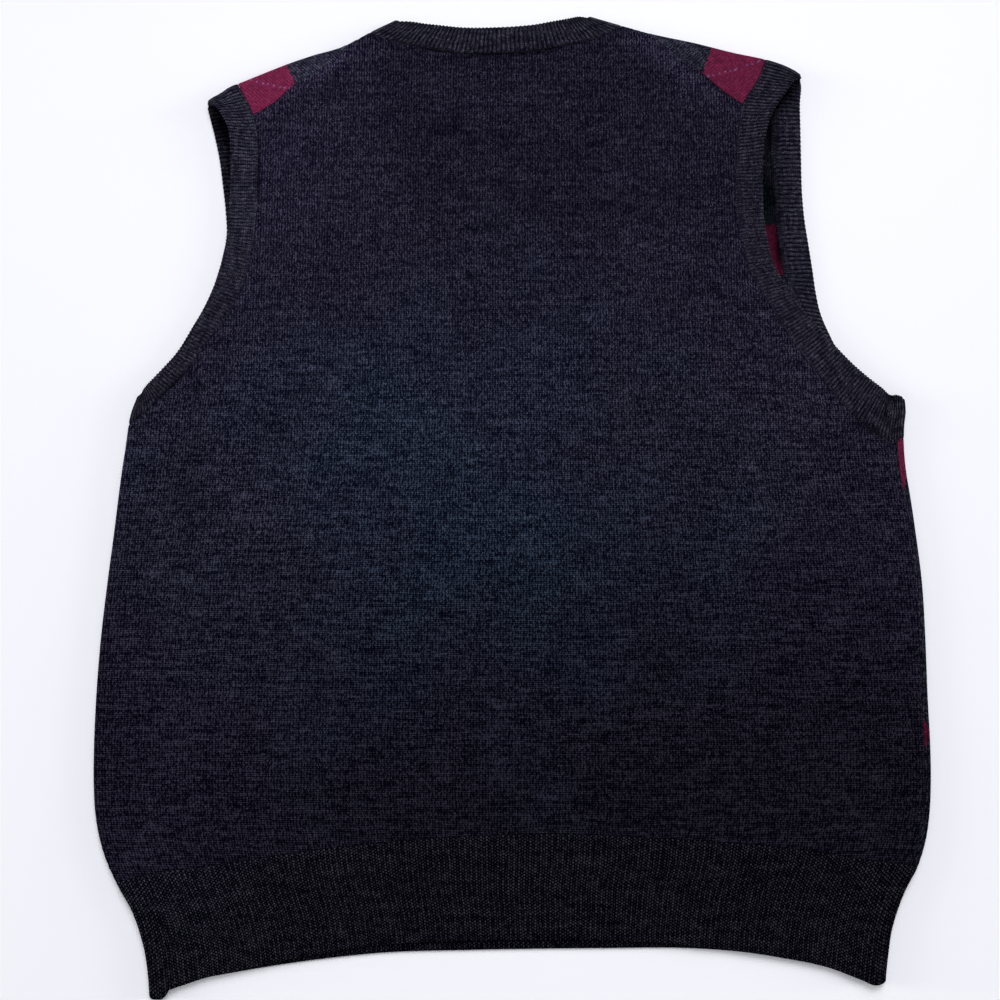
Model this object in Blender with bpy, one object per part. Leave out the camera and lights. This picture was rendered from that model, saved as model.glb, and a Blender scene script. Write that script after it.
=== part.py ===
"""A knitted V-neck slipover vest, laid flat on its front with its back up.

The vest is a tube of knitted cloth pressed flat. Its lower layer is the front, outer face down at z = 0,
and its upper layer is the back. Each piece is cut flat, in a chart: the plan of the layer that it starts on,
carried straight on past the fold lines. lay() then rolls whatever lies past a fold line round to the other
layer. So the back comes under at the left side, and the front comes over at the right side and over both
shoulders, as far as its seams. Pieces meet edge to edge, with a small gap along each seam.

Lengths in the tables are millimetres. +X is to the right as seen from above, +Y runs from hem to neck.
"""

import math
from collections import namedtuple

import bmesh
import bpy
import numpy as np
from mathutils import Vector
from mathutils.geometry import delaunay_2d_cdt

MM = 0.001

# The cloth.
WALL = 1.8 * MM  # thickness of the knitted cloth
RIB_RISE = 0.45 * MM  # how far a rib stands above the groove beside it
SEAM_GAP = 0.3 * MM  # between the edges of two pieces that are sewn together
HEM_RIB_PITCH = 3.7 * MM
BAND_RIB_PITCH = 3.3 * MM

# How the layers lie.
FOLD_RADIUS = 2.7 * MM  # outer radius of a fold, so a fold is twice this high
HALF_TURN = math.pi * FOLD_RADIUS  # outer length of the cloth round a fold
SETTLE = -1.0 * MM  # how far the upper layer sinks towards the lower one, away from the folds
SETTLE_REACH = 45 * MM  # distance from a fold over which it sinks
SIDE_SEAM_INSET = 5 * MM  # the side seams lie this far inside the outline
FOLD_STEPS = 4  # facets round a fold
NEAR_TURN = 16 * MM  # edges are cut finely within this distance of a fold
FOLD_OVERRUN = 20 * MM  # how far a side fold runs on past the hem's lower edge

# Spacing of the points along cut edges and inside the panels.
EDGE_STEP = 6 * MM
SHOULDER_STEP = 3.5 * MM
SIDE_STEP = 13 * MM
PLAIN_STEP = 9 * MM
LATTICE_STEP = 25 * MM
LATTICE_MARGIN = 9 * MM

HEM_LINE_STEP = 14 * MM
HEM_LINE_READINGS = 3000  # places read along the hem line to find those steps
PLAIN_COLUMN = 8  # half ribs in one column of the front hem, where it lies underneath
EDGE_CLEARANCE = 0.8 * MM  # a fold's facet lines end this far from a cut edge
SHARPEST_MITRE = 0.8  # keeps the corners of an edge that is moved inwards from running far out
CUT_EXACT = 1e-7  # points of a cut that lie nearer than this are one
ON_TOP = 0.45  # the front hem is ribbed where it faces up at least this much

# The vest's outline below the armholes: height, left side, right side.
SIDES = (
    (-345, -241.5, 248.0),
    (-332, -243.0, 249.0),
    (-318, -245.5, 251.2),
    (-304, -249.8, 253.8),
    (-290, -255.8, 258.6),
    (-276, -264.5, 265.0),
    (-262, -272.4, 273.4),
    (-247, -278.2, 279.0),
    (-230, -282.3, 282.6),
    (-208, -284.7, 284.8),
    (-184, -285.6, 285.6),
    (-150, -285.6, 285.4),
    (-110, -284.2, 285.7),
    (-70, -281.2, 285.1),
    (-38, -278.3, 282.5),
    (-12, -276.2, 279.9),
    (8, -274.4, 277.5),
    (25, -272.5, 276.8),
    (41, -270.9, 277.6),
    (50, -269.2, 279.0),
    (60, -265.8, 278.6),
)
LEFT_UNDERARM_TOP = 60  # heights where the folded underarm ends and the open armhole starts
RIGHT_UNDERARM_TOP = 58

# The folded shoulder lines, from the armhole to the neck: x, y.
LEFT_SHOULDER = (
    (-222, 281.5),
    (-201, 294.8),
    (-184, 302.6),
    (-164, 311.0),
    (-145, 317.8),
    (-126, 323.6),
    (-115, 329.4),
    (-104, 336.0),
    (-81, 345.0),
)
RIGHT_SHOULDER = (
    (212.5, 304.3),
    (187, 314.2),
    (165, 319.2),
    (136, 326.9),
    (106, 334.0),
    (81.4, 341.3),
    (59.2, 347.2),
)
LEFT_SHOULDER_SLOPE = math.radians(23)
RIGHT_SHOULDER_SLOPE = math.radians(-14.5)

# The shoulder seams in the back's chart, from the armhole to the neck, between those two ends: x, y.
LEFT_SHOULDER_SEAM = ((-173, 281), (-160, 293.5), (-143, 304.5), (-126, 316.5), (-120, 326), (-113, 336))
RIGHT_SHOULDER_SEAM = ((154.4, 290.3), (143, 300.7), (120.2, 318.2), (106, 328.6), (97, 338), (90, 344))
LEFT_SHOULDER_SEAM_END = (-186, 271.8)  # where each shoulder seam meets its armhole
RIGHT_SHOULDER_SEAM_END = (166, 280.2)
NECK_SEAM_UNDERLAP = 4 * MM  # how far under the fold the shoulder seams meet the neckband

# The line where the ribbed hem starts, and the lower edge of the front hem: x, y.
HEM_TOP = (
    (-272, -273),
    (-257, -270),
    (-240, -266.2),
    (-202, -261.2),
    (-160, -255.0),
    (-120, -249.6),
    (-66, -244.4),
    (-8, -241.0),
    (55, -241.0),
    (99, -243.2),
    (142, -246.0),
    (185, -249.8),
    (228, -255.7),
    (261, -260.0),
    (275, -262.0),
)
HEM_BOTTOM = (
    (-242, -346.6),
    (-234, -346.6),
    (-226, -342.2),
    (-210, -336.0),
    (-187, -331.2),
    (-130, -322.6),
    (-87, -318.3),
    (-30, -316.6),
    (60, -315.4),
    (118, -315.4),
    (141, -316.7),
    (179, -321.1),
    (210, -327.0),
    (232, -334.8),
    (242, -338.4),
    (248, -336.6),
)
# How far the back hem's edge lies above the front hem's: x, rise.
HEM_PEEK = ((-242, 0), (-205, 0.5), (-150, 3.0), (-90, 5.2), (0, 6.4), (70, 5.0), (130, 1.6), (180, 0.2), (248, 0))
HEM_ROWS = (0.0, 0.55, 1.0)  # parts of the hem's height where its columns bend
HEM_TRIES = 4  # a hem point's height and its place across depend on each other, and settle in this many tries

# The ribbed bands: seam x, seam y, free edge x, free edge y. A band is a closed loop: its upper stretch is on
# the back, its lower stretch is on the front, and it folds over between them at the named fold rows.
LEFT_BAND_UNDERARM = (-270.9, 41, -265.8, 59.3)
LEFT_BAND_UPPER = (
    (-259.4, 49.4, -261.0, 64.6),
    (-250.0, 58.6, -255.5, 73.5),
    (-238.0, 71.8, -247.5, 83.8),
    (-225.0, 88.0, -238.0, 95.4),
    (-213.0, 104.0, -227.6, 111.8),
    (-201.8, 121.7, -218.8, 128.5),
    (-193.5, 141.0, -212.4, 146.0),
    (-188.0, 162.0, -207.6, 166.0),
    (-185.0, 185.0, -205.2, 186.0),
    (-184.0, 212.0, -204.2, 212.0),
    (-184.4, 238.0, -204.3, 238.0),
    (-185.5, 256.0, -205.8, 257.0),
    (-187.8, 268.5, -209.5, 266.5),
    (-193.0, 280.0, -215.0, 274.6),
)
LEFT_BAND_SHOULDER = (-201, 294.8, -222, 281.5)
LEFT_BAND_LOWER = (
    (-198.6, 276.0, -220.2, 270.5),
    (-196.8, 258.0, -217.2, 256.0),
    (-193.5, 239.0, -213.4, 238.5),
    (-190.3, 219.0, -210.4, 219.0),
    (-187.8, 200.0, -207.8, 200.0),
    (-186.5, 182.0, -206.4, 182.0),
    (-189.0, 162.0, -208.6, 165.5),
    (-195.0, 141.0, -213.6, 145.5),
    (-203.2, 122.5, -220.2, 128.6),
    (-214.5, 104.5, -229.0, 111.5),
    (-226.5, 88.0, -239.4, 95.5),
    (-239.5, 72.5, -249.0, 84.0),
    (-251.0, 58.5, -257.0, 73.5),
    (-260.0, 49.0, -262.0, 65.0),
)
LEFT_BAND_RIBBED_ABOVE = 175  # the lower stretch shows, and so is ribbed, above this height

RIGHT_BAND_UNDERARM = (277, 31, 279, 57)
RIGHT_BAND_UPPER = (
    (268.5, 25.8, 270.0, 61.3),
    (256.0, 35.2, 262.5, 67.2),
    (240.5, 47.4, 252.5, 75.6),
    (229.0, 61.0, 242.5, 85.0),
    (218.5, 75.6, 232.8, 95.6),
    (209.0, 88.0, 224.0, 105.8),
    (200.0, 101.0, 216.0, 115.6),
    (189.6, 119.2, 206.0, 128.0),
    (179.0, 138.3, 196.6, 143.0),
    (171.5, 153.0, 189.6, 156.5),
    (166.2, 172.5, 185.4, 174.0),
    (163.4, 192.0, 183.0, 192.5),
    (162.5, 212.0, 182.3, 212.0),
    (163.2, 230.0, 182.8, 231.0),
    (165.0, 248.0, 184.6, 250.0),
    (166.8, 265.0, 188.2, 265.5),
    (170.4, 281.0, 194.4, 278.0),
    (177.4, 292.0, 201.6, 288.4),
    (183.0, 302.0, 207.4, 296.0),
)
RIGHT_BAND_SHOULDER = (187, 314.2, 212.5, 304.3)
RIGHT_BAND_LOWER = (
    (188.0, 300.0, 212.4, 293.0),
    (190.0, 283.0, 212.3, 280.0),
    (189.6, 262.0, 212.1, 262.0),
    (189.3, 238.0, 211.8, 238.0),
    (189.8, 214.0, 211.6, 214.0),
    (191.0, 194.0, 212.6, 194.0),
    (193.3, 170.0, 215.4, 170.0),
    (196.0, 152.5, 217.4, 153.0),
    (200.0, 141.5, 218.8, 139.5),
    (205.2, 127.0, 221.4, 124.0),
    (211.0, 110.0, 227.2, 108.0),
    (218.5, 94.5, 234.0, 94.0),
    (228.5, 79.5, 242.5, 84.0),
    (240.5, 66.0, 252.0, 75.5),
    (253.0, 53.5, 262.0, 66.5),
    (265.0, 41.5, 270.6, 60.6),
)
RIGHT_BAND_RIBBED_ABOVE = 92

NECK_LEFT_FOLD = (-104, 336, -81, 345)
NECK_UPPER = (
    (-94.0, 329.6, -73.0, 342.2),
    (-80.0, 326.2, -64.0, 341.0),
    (-60.0, 321.8, -50.0, 339.6),
    (-38.0, 318.8, -33.0, 338.2),
    (-12.0, 317.5, -12.0, 338.0),
    (14.0, 319.3, 12.0, 339.4),
    (38.0, 323.6, 32.0, 342.3),
    (58.0, 328.0, 45.0, 344.2),
    (72.0, 333.6, 53.0, 344.9),
)
NECK_RIGHT_FOLD = (81.4, 341.3, 59.2, 347.2)
NECK_RIGHT_LEG = (
    (63.4, 292.0, 44.8, 299.3),
    (45.2, 245.6, 26.6, 252.9),
    (26.6, 199.0, 8.0, 206.4),
    (15.0, 170.7, -3.0, 180.0),
)
NECK_POINT = (-4.0, 122.0, -5.6, 172.7)  # the point of the V
NECK_LEFT_LEG = (
    (-26.0, 169.0, -8.2, 180.0),
    (-39.4, 197.0, -21.3, 205.5),
    (-61.4, 243.0, -43.3, 251.5),
    (-82.6, 288.2, -64.5, 296.7),
)

# Broad swells and hollows of the upper layer: middle x, y, half length, half width, turn in degrees, height.
SWELLS = (
    (-40, -60, 190, 70, 8, 1.3),
    (90, 95, 120, 34, -24, 1.1),
    (-130, 120, 90, 28, 52, 0.9),
    (30, 262, 110, 16, 4, 0.9),
    (-55, 246, 46, 14, 10, -0.5),
    (85, 214, 44, 9, 14, -0.6),
    (215, -20, 30, 130, 6, 1.2),
    (-215, -90, 28, 140, -5, 1.1),
    (60, -200, 170, 26, -3, 0.8),
)

# Colours are linear RGB.
CHARCOAL = (0.014, 0.013, 0.022)
RIB_CHARCOAL = (0.016, 0.018, 0.024)
BURGUNDY = (0.130, 0.012, 0.035)
KNIT_ROUGHNESS = 0.92


def smooth(marks, values):
    """A smooth function through the values at rising marks. It runs straight on past both ends."""
    marks = np.array(marks, float)
    values = np.array(values, float)
    slopes = np.gradient(values, marks, axis=0)

    def read(mark):
        if mark <= marks[0]:
            return values[0] + slopes[0] * (mark - marks[0])
        if mark >= marks[-1]:
            return values[-1] + slopes[-1] * (mark - marks[-1])
        i = int(np.searchsorted(marks, mark, side="right")) - 1
        span = marks[i + 1] - marks[i]
        t = (mark - marks[i]) / span
        rise = t * t * (3 - 2 * t)
        return (
            values[i] * (1 - rise)
            + values[i + 1] * rise
            + slopes[i] * span * t * (1 - t) ** 2
            - slopes[i + 1] * span * t * t * (1 - t)
        )

    return read


def smooth_column(table, column):
    """The smooth function from a table's first column, in rising order, to one of the others."""
    rows = np.array(table, float) * MM
    return smooth(rows[:, 0], rows[:, column])


def smooth_path(points):
    """The length of the smooth line through some points, and the function that reads it by distance."""
    points = np.array(points, float)
    steps = np.linalg.norm(np.diff(points[:, :2], axis=0), axis=1)
    marks = np.concatenate([[0.0], np.cumsum(steps)])
    return marks[-1], smooth(marks, points)


def spread(points, step):
    """Points along the smooth line through these ones, about a step apart, both ends kept."""
    length, read = smooth_path(points)
    count = max(1, round(length / step))
    return [read(length * i / count) for i in range(count + 1)]


def ease(value):
    """Rises smoothly from 0 to 1 as the value does."""
    value = min(max(value, 0.0), 1.0)
    return value * value * (3 - 2 * value)


class Fold:
    """A line where the cloth turns from one layer to the other.

    A point is read as how far it lies along the fold and how far out towards it. line() gives how far out the
    folded edge is. The cloth starts to turn one radius before it.
    """

    def __init__(self, out, line, first, last):
        self.out = np.array(out, float)
        self.along = np.array((self.out[1], -self.out[0]))
        self.line = line
        self.first = first
        self.last = last

    def past(self, point):
        """How far beyond the start of the turn a point of the chart is."""
        return float(point @ self.out) - (self.line(float(point @ self.along)) - FOLD_RADIUS)

    def holds(self, point):
        return self.first <= point @ self.along <= self.last

    def turn_start(self, point):
        """The point moved straight out or in to where the cloth starts to turn."""
        return point - self.out * self.past(point)

    def mirrored(self, point):
        """The same point of the cloth in the other layer's chart."""
        return point + self.out * (HALF_TURN - 2 * self.past(point))

    def inset(self, point):
        """Distance from a point on the laid cloth to this fold."""
        along = float(point @ self.along)
        nearest = min(max(along, self.first), self.last)
        return math.hypot(max(self.line(nearest) - float(point @ self.out), 0.0), along - nearest)


left_side = smooth_column(SIDES, 1)
right_side = smooth_column(SIDES, 2)
hem_top = smooth_column(HEM_TOP, 1)
hem_bottom = smooth_column(HEM_BOTTOM, 1)
hem_peek = smooth_column(HEM_PEEK, 1)


def side_fold(side, sign, top):
    """The fold down one side. Its along axis is -Y on the right and +Y on the left."""
    lowest = SIDES[0][0] * MM - FOLD_OVERRUN
    ends = sorted((-sign * lowest, -sign * top * MM))
    return Fold((sign, 0), lambda along: sign * side(-sign * along), *ends)


def shoulder_fold(points, slope):
    out = np.array((-math.sin(slope), math.cos(slope)))
    along = np.array((out[1], -out[0]))
    points = np.array(points, float) * MM
    points = points[np.argsort(points @ along)]
    marks = points @ along
    return Fold(out, smooth(marks, points @ out), marks[0] - 1 * MM, marks[-1] + 1 * MM)


LEFT = side_fold(left_side, -1, LEFT_UNDERARM_TOP)
RIGHT = side_fold(right_side, 1, RIGHT_UNDERARM_TOP)
SHOULDER_LEFT = shoulder_fold(LEFT_SHOULDER, LEFT_SHOULDER_SLOPE)
SHOULDER_RIGHT = shoulder_fold(RIGHT_SHOULDER, RIGHT_SHOULDER_SLOPE)
FOLDS = (LEFT, RIGHT, SHOULDER_LEFT, SHOULDER_RIGHT)


def loft(point):
    """How far the upper layer's outer face lies above or below the height of the folds."""
    settled = ease(min(fold.inset(point) for fold in FOLDS) / SETTLE_REACH)
    height = SETTLE
    for x, y, half_length, half_width, turn, rise in SWELLS:
        dx, dy = point - np.array((x, y)) * MM
        c, s = math.cos(math.radians(turn)), math.sin(math.radians(turn))
        far = ((c * dx + s * dy) / (half_length * MM)) ** 2 + ((c * dy - s * dx) / (half_width * MM)) ** 2
        height += rise * MM * math.exp(-far)
    return settled * height


def lay(face, point, depth):
    """Where a point of a chart comes to lie, this deep inside the cloth's outer face."""
    point = np.array(point, float)
    turn = 0.0
    for fold in FOLDS:
        past = fold.past(point)
        if past > 0 and fold.holds(point):
            turn = min(past / FOLD_RADIUS, math.pi)
            round_edge = (FOLD_RADIUS - depth) * math.sin(turn)
            point = point + fold.out * (round_edge - past - max(past - HALF_TURN, 0.0))
            break
    if face == "front":
        turn = math.pi - turn
    height = FOLD_RADIUS + (FOLD_RADIUS - depth) * math.cos(turn)
    if turn == 0.0:
        height += loft(point)
    return Vector((point[0], point[1], height))


# One place along a band: the layer whose chart it is in, its two edges there, the fold that is nearest, and
# how far its rib is raised, from 0 to 1.
Station = namedtuple("Station", "face seam free fold raised")


def in_chart(face, station):
    """A station's seam point in the chart of this face."""
    return station.seam if station.face == face else station.fold.mirrored(station.seam)


def fold_row(row, fold):
    """A fold row moved in to where the cloth starts to turn."""
    seam, free = np.array(row[:2], float) * MM, np.array(row[2:], float) * MM
    return np.concatenate([fold.turn_start(seam), fold.turn_start(free)]) / MM


def stretch(face, rows, first_fold, last_fold, ribbed):
    """Stations along one stretch of a band. Where ribbed(y) holds they are half a rib apart, else further."""
    rows = np.array(rows, float) * MM
    steps = [np.linalg.norm(np.diff(rows[:, i : i + 2], axis=0), axis=1) for i in (0, 2)]
    marks = np.concatenate([[0.0], np.cumsum(np.maximum(*steps))])
    read = smooth(marks, rows)
    stations = []
    for start, end in zip(marks, marks[1:]):
        raises = ribbed(read((start + end) / 2)[1])
        step = BAND_RIB_PITCH / 2 if raises else PLAIN_STEP
        count = max(1, round((end - start) / step))
        for i in range(count):
            row = read(start + (end - start) * i / count)
            fold = first_fold if start + end < marks[-1] else last_fold
            stations.append(Station(face, row[:2], row[2:], fold, len(stations) % 2 if raises else 0))
    return stations + [Station(face, rows[-1, :2], rows[-1, 2:], last_fold, 0)]


def turn_over(station, fold):
    """The stations round a fold, from one layer to the other, in the chart of the station that it starts from."""
    return [
        Station(
            station.face,
            station.seam + fold.out * HALF_TURN * i / FOLD_STEPS,
            station.free + fold.out * HALF_TURN * i / FOLD_STEPS,
            fold,
            i % 2,
        )
        for i in range(1, FOLD_STEPS)
    ]


def band_loop(first_row, upper, last_row, lower, first_fold, last_fold, lower_ribbed):
    """All stations of a band: up its stretch on the back, over the last fold, back along the front, and under.
    Its lower stretch turns a sharp corner at each row that starts a new table."""
    first_row, last_row = fold_row(first_row, first_fold), fold_row(last_row, last_fold)
    up = stretch("back", [first_row, *upper, last_row], first_fold, last_fold, lambda y: True)
    tables = [[last_row, *lower[0]], *lower[1:]]
    tables[-1] = [*tables[-1], first_row]
    down = []
    for table in tables:
        down = down[:-1] + stretch("front", table, last_fold, first_fold, lower_ribbed)
    return up, turn_over(up[-1], last_fold), down, turn_over(down[-1], first_fold)


def facing_up(face, point):
    """How far the outer face of the cloth at a point of a chart faces up, from -1 to 1."""
    middle = lay(face, point, WALL / 2).z
    return min(max((middle - FOLD_RADIUS) / (FOLD_RADIUS - WALL / 2), -1.0), 1.0)


def band_point(station, at_free_edge, outer):
    """A corner of a band's section. Ribs are raised on whichever side of the cloth faces up."""
    across = station.free - station.seam
    seam = station.seam + across * (SEAM_GAP / 2 / np.linalg.norm(across))
    point = station.free if at_free_edge else seam
    up = facing_up(station.face, point)
    rise = RIB_RISE * station.raised
    depth = -rise * max(up, 0.0) if outer else WALL + rise * max(-up, 0.0)
    return lay(station.face, point, depth)


def material(name, colour):
    made = bpy.data.materials.new(name)
    made.use_nodes = True
    shader = made.node_tree.nodes["Principled BSDF"]
    shader.inputs["Base Color"].default_value = (*colour, 1)
    shader.inputs["Roughness"].default_value = KNIT_ROUGHNESS
    shader.inputs["Metallic"].default_value = 0.0
    made.diffuse_color = (*colour, 1)
    return made


def add_object(name, bm, finish):
    bmesh.ops.recalc_face_normals(bm, faces=bm.faces)
    mesh = bpy.data.meshes.new(name)
    bm.to_mesh(mesh)
    bm.free()
    mesh.materials.append(finish)
    made = bpy.data.objects.new(name, mesh)
    vest.objects.link(made)
    return made


def skin(bm, rows, closed):
    """Faces between neighbouring rows of vertices, and from the last row to the first if it is closed."""
    pairs = list(zip(rows, rows[1:]))
    if closed:
        pairs.append((rows[-1], rows[0]))
    for near, far in pairs:
        for i in range(len(near)):
            j = (i + 1) % len(near)
            bm.faces.new((near[i], near[j], far[j], far[i]))


def add_band(name, stations, finish):
    """A band as a loft round its loop: four corners a station, outer and inner at the seam and the free edge."""
    bm = bmesh.new()
    corners = ((False, True), (True, True), (True, False), (False, False))
    rows = [[bm.verts.new(band_point(station, *corner)) for corner in corners] for station in stations]
    skin(bm, rows, closed=True)
    return add_object(name, bm, finish)


def hem_columns(face):
    """The hem's columns as parts of its width, each with the raise of its rib. The front hem has wider, plain
    columns where it lies underneath."""
    start, end = hem_ends(face, HEM_TOP[len(HEM_TOP) // 2][1] * MM)
    count = 2 * round((end - start) / HEM_RIB_PITCH)
    underneath = 1 - (HALF_TURN + SIDE_SEAM_INSET) / (end - start) - 1 / count
    columns = []
    for i in range(count + 1):
        part = i / count
        if face == "back" or part > underneath:
            columns.append((part, i % 2))
        elif i % PLAIN_COLUMN == 0:
            columns.append((part, 0))
    return columns


def hem_ends(face, height):
    """Where a hem or a panel starts and ends across the chart at this height."""
    tail = HALF_TURN + SIDE_SEAM_INSET - FOLD_RADIUS
    if face == "back":
        return left_side(height) + FOLD_RADIUS - tail, right_side(height) - SIDE_SEAM_INSET
    return left_side(height) + SIDE_SEAM_INSET, right_side(height) - FOLD_RADIUS + tail


def laid_x(face, x, height):
    """The x where a point of a chart comes to lie."""
    return lay(face, (x, height), 0.0).x


def hem_point(face, part, row):
    """A point of the hem's chart, by its part of the width and of the height."""
    height = HEM_BOTTOM[0][1] * (1 - row) * MM + HEM_TOP[0][1] * row * MM
    for _ in range(HEM_TRIES):
        start, end = hem_ends(face, height)
        x = start + SEAM_GAP / 2 + (end - start - SEAM_GAP) * part
        under = laid_x(face, x, height)
        bottom = hem_bottom(under) + (hem_peek(under) if face == "back" else 0)
        height = bottom + (hem_top(under) - SEAM_GAP / 2 - bottom) * row
    return np.array((x, height))


def add_hem(face, name, finish):
    """A ribbed hem: one section a column, with its ribs raised where it faces up over a plain inside."""
    bm = bmesh.new()
    rows = []
    for part, raised in hem_columns(face):
        chart = [hem_point(face, part, row) for row in HEM_ROWS]
        outer = []
        for point in chart:
            rise = RIB_RISE * raised if facing_up(face, point) > ON_TOP else 0.0
            outer.append(lay(face, point, -rise))
        inner = [lay(face, point, WALL) for point in reversed(chart)]
        rows.append([bm.verts.new(point) for point in outer + inner])
    skin(bm, rows, closed=False)
    bm.faces.new(rows[0])
    bm.faces.new(rows[-1])
    return add_object(name, bm, finish)


def nearest(stations, face, point):
    """The index of the station whose seam is nearest to a point of a chart."""
    point = np.array(point, float) * MM
    return min(range(len(stations)), key=lambda i: np.linalg.norm(in_chart(face, stations[i]) - point))


def thinned(stations, face, step):
    """A run of stations as chart points about a step apart. Those round a fold are all kept."""
    points = [in_chart(face, stations[0])]
    for station in stations[1:-1]:
        point = in_chart(face, station)
        turning = abs(station.fold.past(point) - HALF_TURN / 2) < HALF_TURN / 2 + NEAR_TURN
        if np.linalg.norm(point - points[-1]) > (step / 4 if turning else step):
            points.append(point)
    points.append(in_chart(face, stations[-1]))
    return points


def hem_line(face):
    """The points of a chart along the top of the hem, from its left seam to its right one."""
    start = hem_ends(face, HEM_TOP[0][1] * MM)[0]
    end = hem_ends(face, HEM_TOP[-1][1] * MM)[1]
    points = []
    for x in np.linspace(start, end, HEM_LINE_READINGS):
        rough = HEM_TOP[0][1] * MM if x < 0 else HEM_TOP[-1][1] * MM
        point = np.array((x, hem_top(laid_x(face, x, rough))))
        fold = LEFT if x < 0 else RIGHT
        turning = -SIDE_SEAM_INSET < fold.past(point) < HALF_TURN + SIDE_SEAM_INSET
        step = HALF_TURN / FOLD_STEPS if turning else HEM_LINE_STEP
        if not points or np.linalg.norm(point - points[-1]) >= step:
            points.append(point)
    return points


def side_seam(face, side, first, last):
    """The points of a chart up a side seam, between two points that are already there."""
    count = round((last[1] - first[1]) / SIDE_STEP)
    heights = [first[1] + (last[1] - first[1]) * i / count for i in range(1, count)]
    return [np.array((hem_ends(face, height)[side], height)) for height in heights]


def pulled_in(outline, by):
    """A closed outline moved inwards by a small distance."""
    outline = np.array(outline)
    edges = np.roll(outline, -1, axis=0) - outline
    edges /= np.linalg.norm(edges, axis=1)[:, None]
    inwards = np.stack([-edges[:, 1], edges[:, 0]], axis=1)
    both = inwards + np.roll(inwards, 1, axis=0)
    square = (both**2).sum(axis=1)
    return outline + both * (2 * by / np.maximum(square, SHARPEST_MITRE))[:, None]


def distance_inside(outline, point):
    """How far inside a closed outline a point is, or a negative distance outside it."""
    ends = np.roll(outline, -1, axis=0)
    edges = ends - outline
    part = (((point - outline) * edges).sum(axis=1) / (edges**2).sum(axis=1)).clip(0, 1)
    distance = np.linalg.norm(outline + edges * part[:, None] - point, axis=1).min()
    crosses = (outline[:, 1] > point[1]) != (ends[:, 1] > point[1])
    rise = np.where(edges[:, 1] == 0, 1.0, edges[:, 1])
    where = outline[:, 0] + edges[:, 0] * (point[1] - outline[:, 1]) / rise
    inside = (crosses & (point[0] < where)).sum() % 2
    return distance if inside else -distance


def turn_lines(outline):
    """Lines of points of a chart along each fold, where the facets of its turn meet."""
    lines = []
    for fold in FOLDS:
        count = round((fold.last - fold.first) / SIDE_STEP)
        for step in range(FOLD_STEPS + 1):
            line = []
            for i in range(count + 1):
                along = fold.first + (fold.last - fold.first) * i / count
                base = fold.along * along + fold.out * (fold.line(along) - FOLD_RADIUS)
                point = base + fold.out * HALF_TURN * step / FOLD_STEPS
                keep = fold.holds(point) and distance_inside(outline, point) > EDGE_CLEARANCE
                line.append(point if keep else None)
            lines.append(line)
    return lines


def add_panel(face, name, outline, finish):
    """A panel cut to an outline in its chart, laid at two depths and closed round its edge."""
    outline = pulled_in(outline, SEAM_GAP / 2)
    points = list(outline)
    edges = []
    for line in turn_lines(outline):
        for before, point in zip([None, *line], line):
            if point is None:
                continue
            points.append(point)
            if before is not None:
                edges.append((len(points) - 2, len(points) - 1))
    if face == "back":
        low, high = outline.min(axis=0), outline.max(axis=0)
        for x in np.arange(low[0], high[0], LATTICE_STEP):
            for y in np.arange(low[1], high[1], LATTICE_STEP):
                point = np.array((x, y))
                near_turn = any(fold.holds(point) and fold.past(point) > -LATTICE_MARGIN for fold in FOLDS)
                if not near_turn and distance_inside(outline, point) > LATTICE_MARGIN:
                    points.append(point)
    border = [(i, (i + 1) % len(outline)) for i in range(len(outline))]
    flat, _, faces, *_ = delaunay_2d_cdt(
        [Vector(point) for point in points], border + edges, [list(range(len(outline)))], 1, CUT_EXACT
    )
    bm = bmesh.new()
    outer = [bm.verts.new(lay(face, point, 0.0)) for point in flat]
    inner = [bm.verts.new(lay(face, point, WALL)) for point in flat]
    for corners in faces:
        bm.faces.new([outer[i] for i in corners])
    rim = [edge for edge in bm.edges if len(edge.link_faces) == 1]
    other = dict(zip(outer, inner))
    for corners in faces:
        bm.faces.new([inner[i] for i in reversed(corners)])
    for edge in rim:
        a, b = edge.verts
        bm.faces.new((a, b, other[b], other[a]))
    return add_object(name, bm, finish)


def shoulder_seam(points, first, last):
    """A shoulder seam in the back's chart, from its armhole end to its neck end."""
    middle = [np.array(point, float) * MM for point in points]
    return spread([first, *middle, last], SHOULDER_STEP)


for old in list(bpy.data.objects):
    bpy.data.objects.remove(old)
vest = bpy.data.collections.new("slipover_vest")
bpy.context.scene.collection.children.link(vest)

charcoal_knit = material("charcoal_knit", CHARCOAL)
charcoal_rib = material("charcoal_rib", RIB_CHARCOAL)
argyle_knit = material("argyle_knit", BURGUNDY)

# The bands come first, because the panels are cut to their seams.
left_band = band_loop(
    LEFT_BAND_UNDERARM,
    LEFT_BAND_UPPER,
    LEFT_BAND_SHOULDER,
    [LEFT_BAND_LOWER],
    LEFT,
    SHOULDER_LEFT,
    lambda y: y > LEFT_BAND_RIBBED_ABOVE * MM,
)
right_band = band_loop(
    RIGHT_BAND_UNDERARM,
    RIGHT_BAND_UPPER,
    RIGHT_BAND_SHOULDER,
    [RIGHT_BAND_LOWER],
    RIGHT,
    SHOULDER_RIGHT,
    lambda y: y > RIGHT_BAND_RIBBED_ABOVE * MM,
)
neck = band_loop(
    NECK_LEFT_FOLD,
    NECK_UPPER,
    NECK_RIGHT_FOLD,
    [(*NECK_RIGHT_LEG, NECK_POINT), (NECK_POINT, *NECK_LEFT_LEG)],
    SHOULDER_LEFT,
    SHOULDER_RIGHT,
    lambda y: False,
)
add_band("armhole_band_left", sum(left_band, []), charcoal_rib)
add_band("armhole_band_right", sum(right_band, []), charcoal_rib)
add_band("neckband", sum(neck, []), charcoal_rib)

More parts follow.
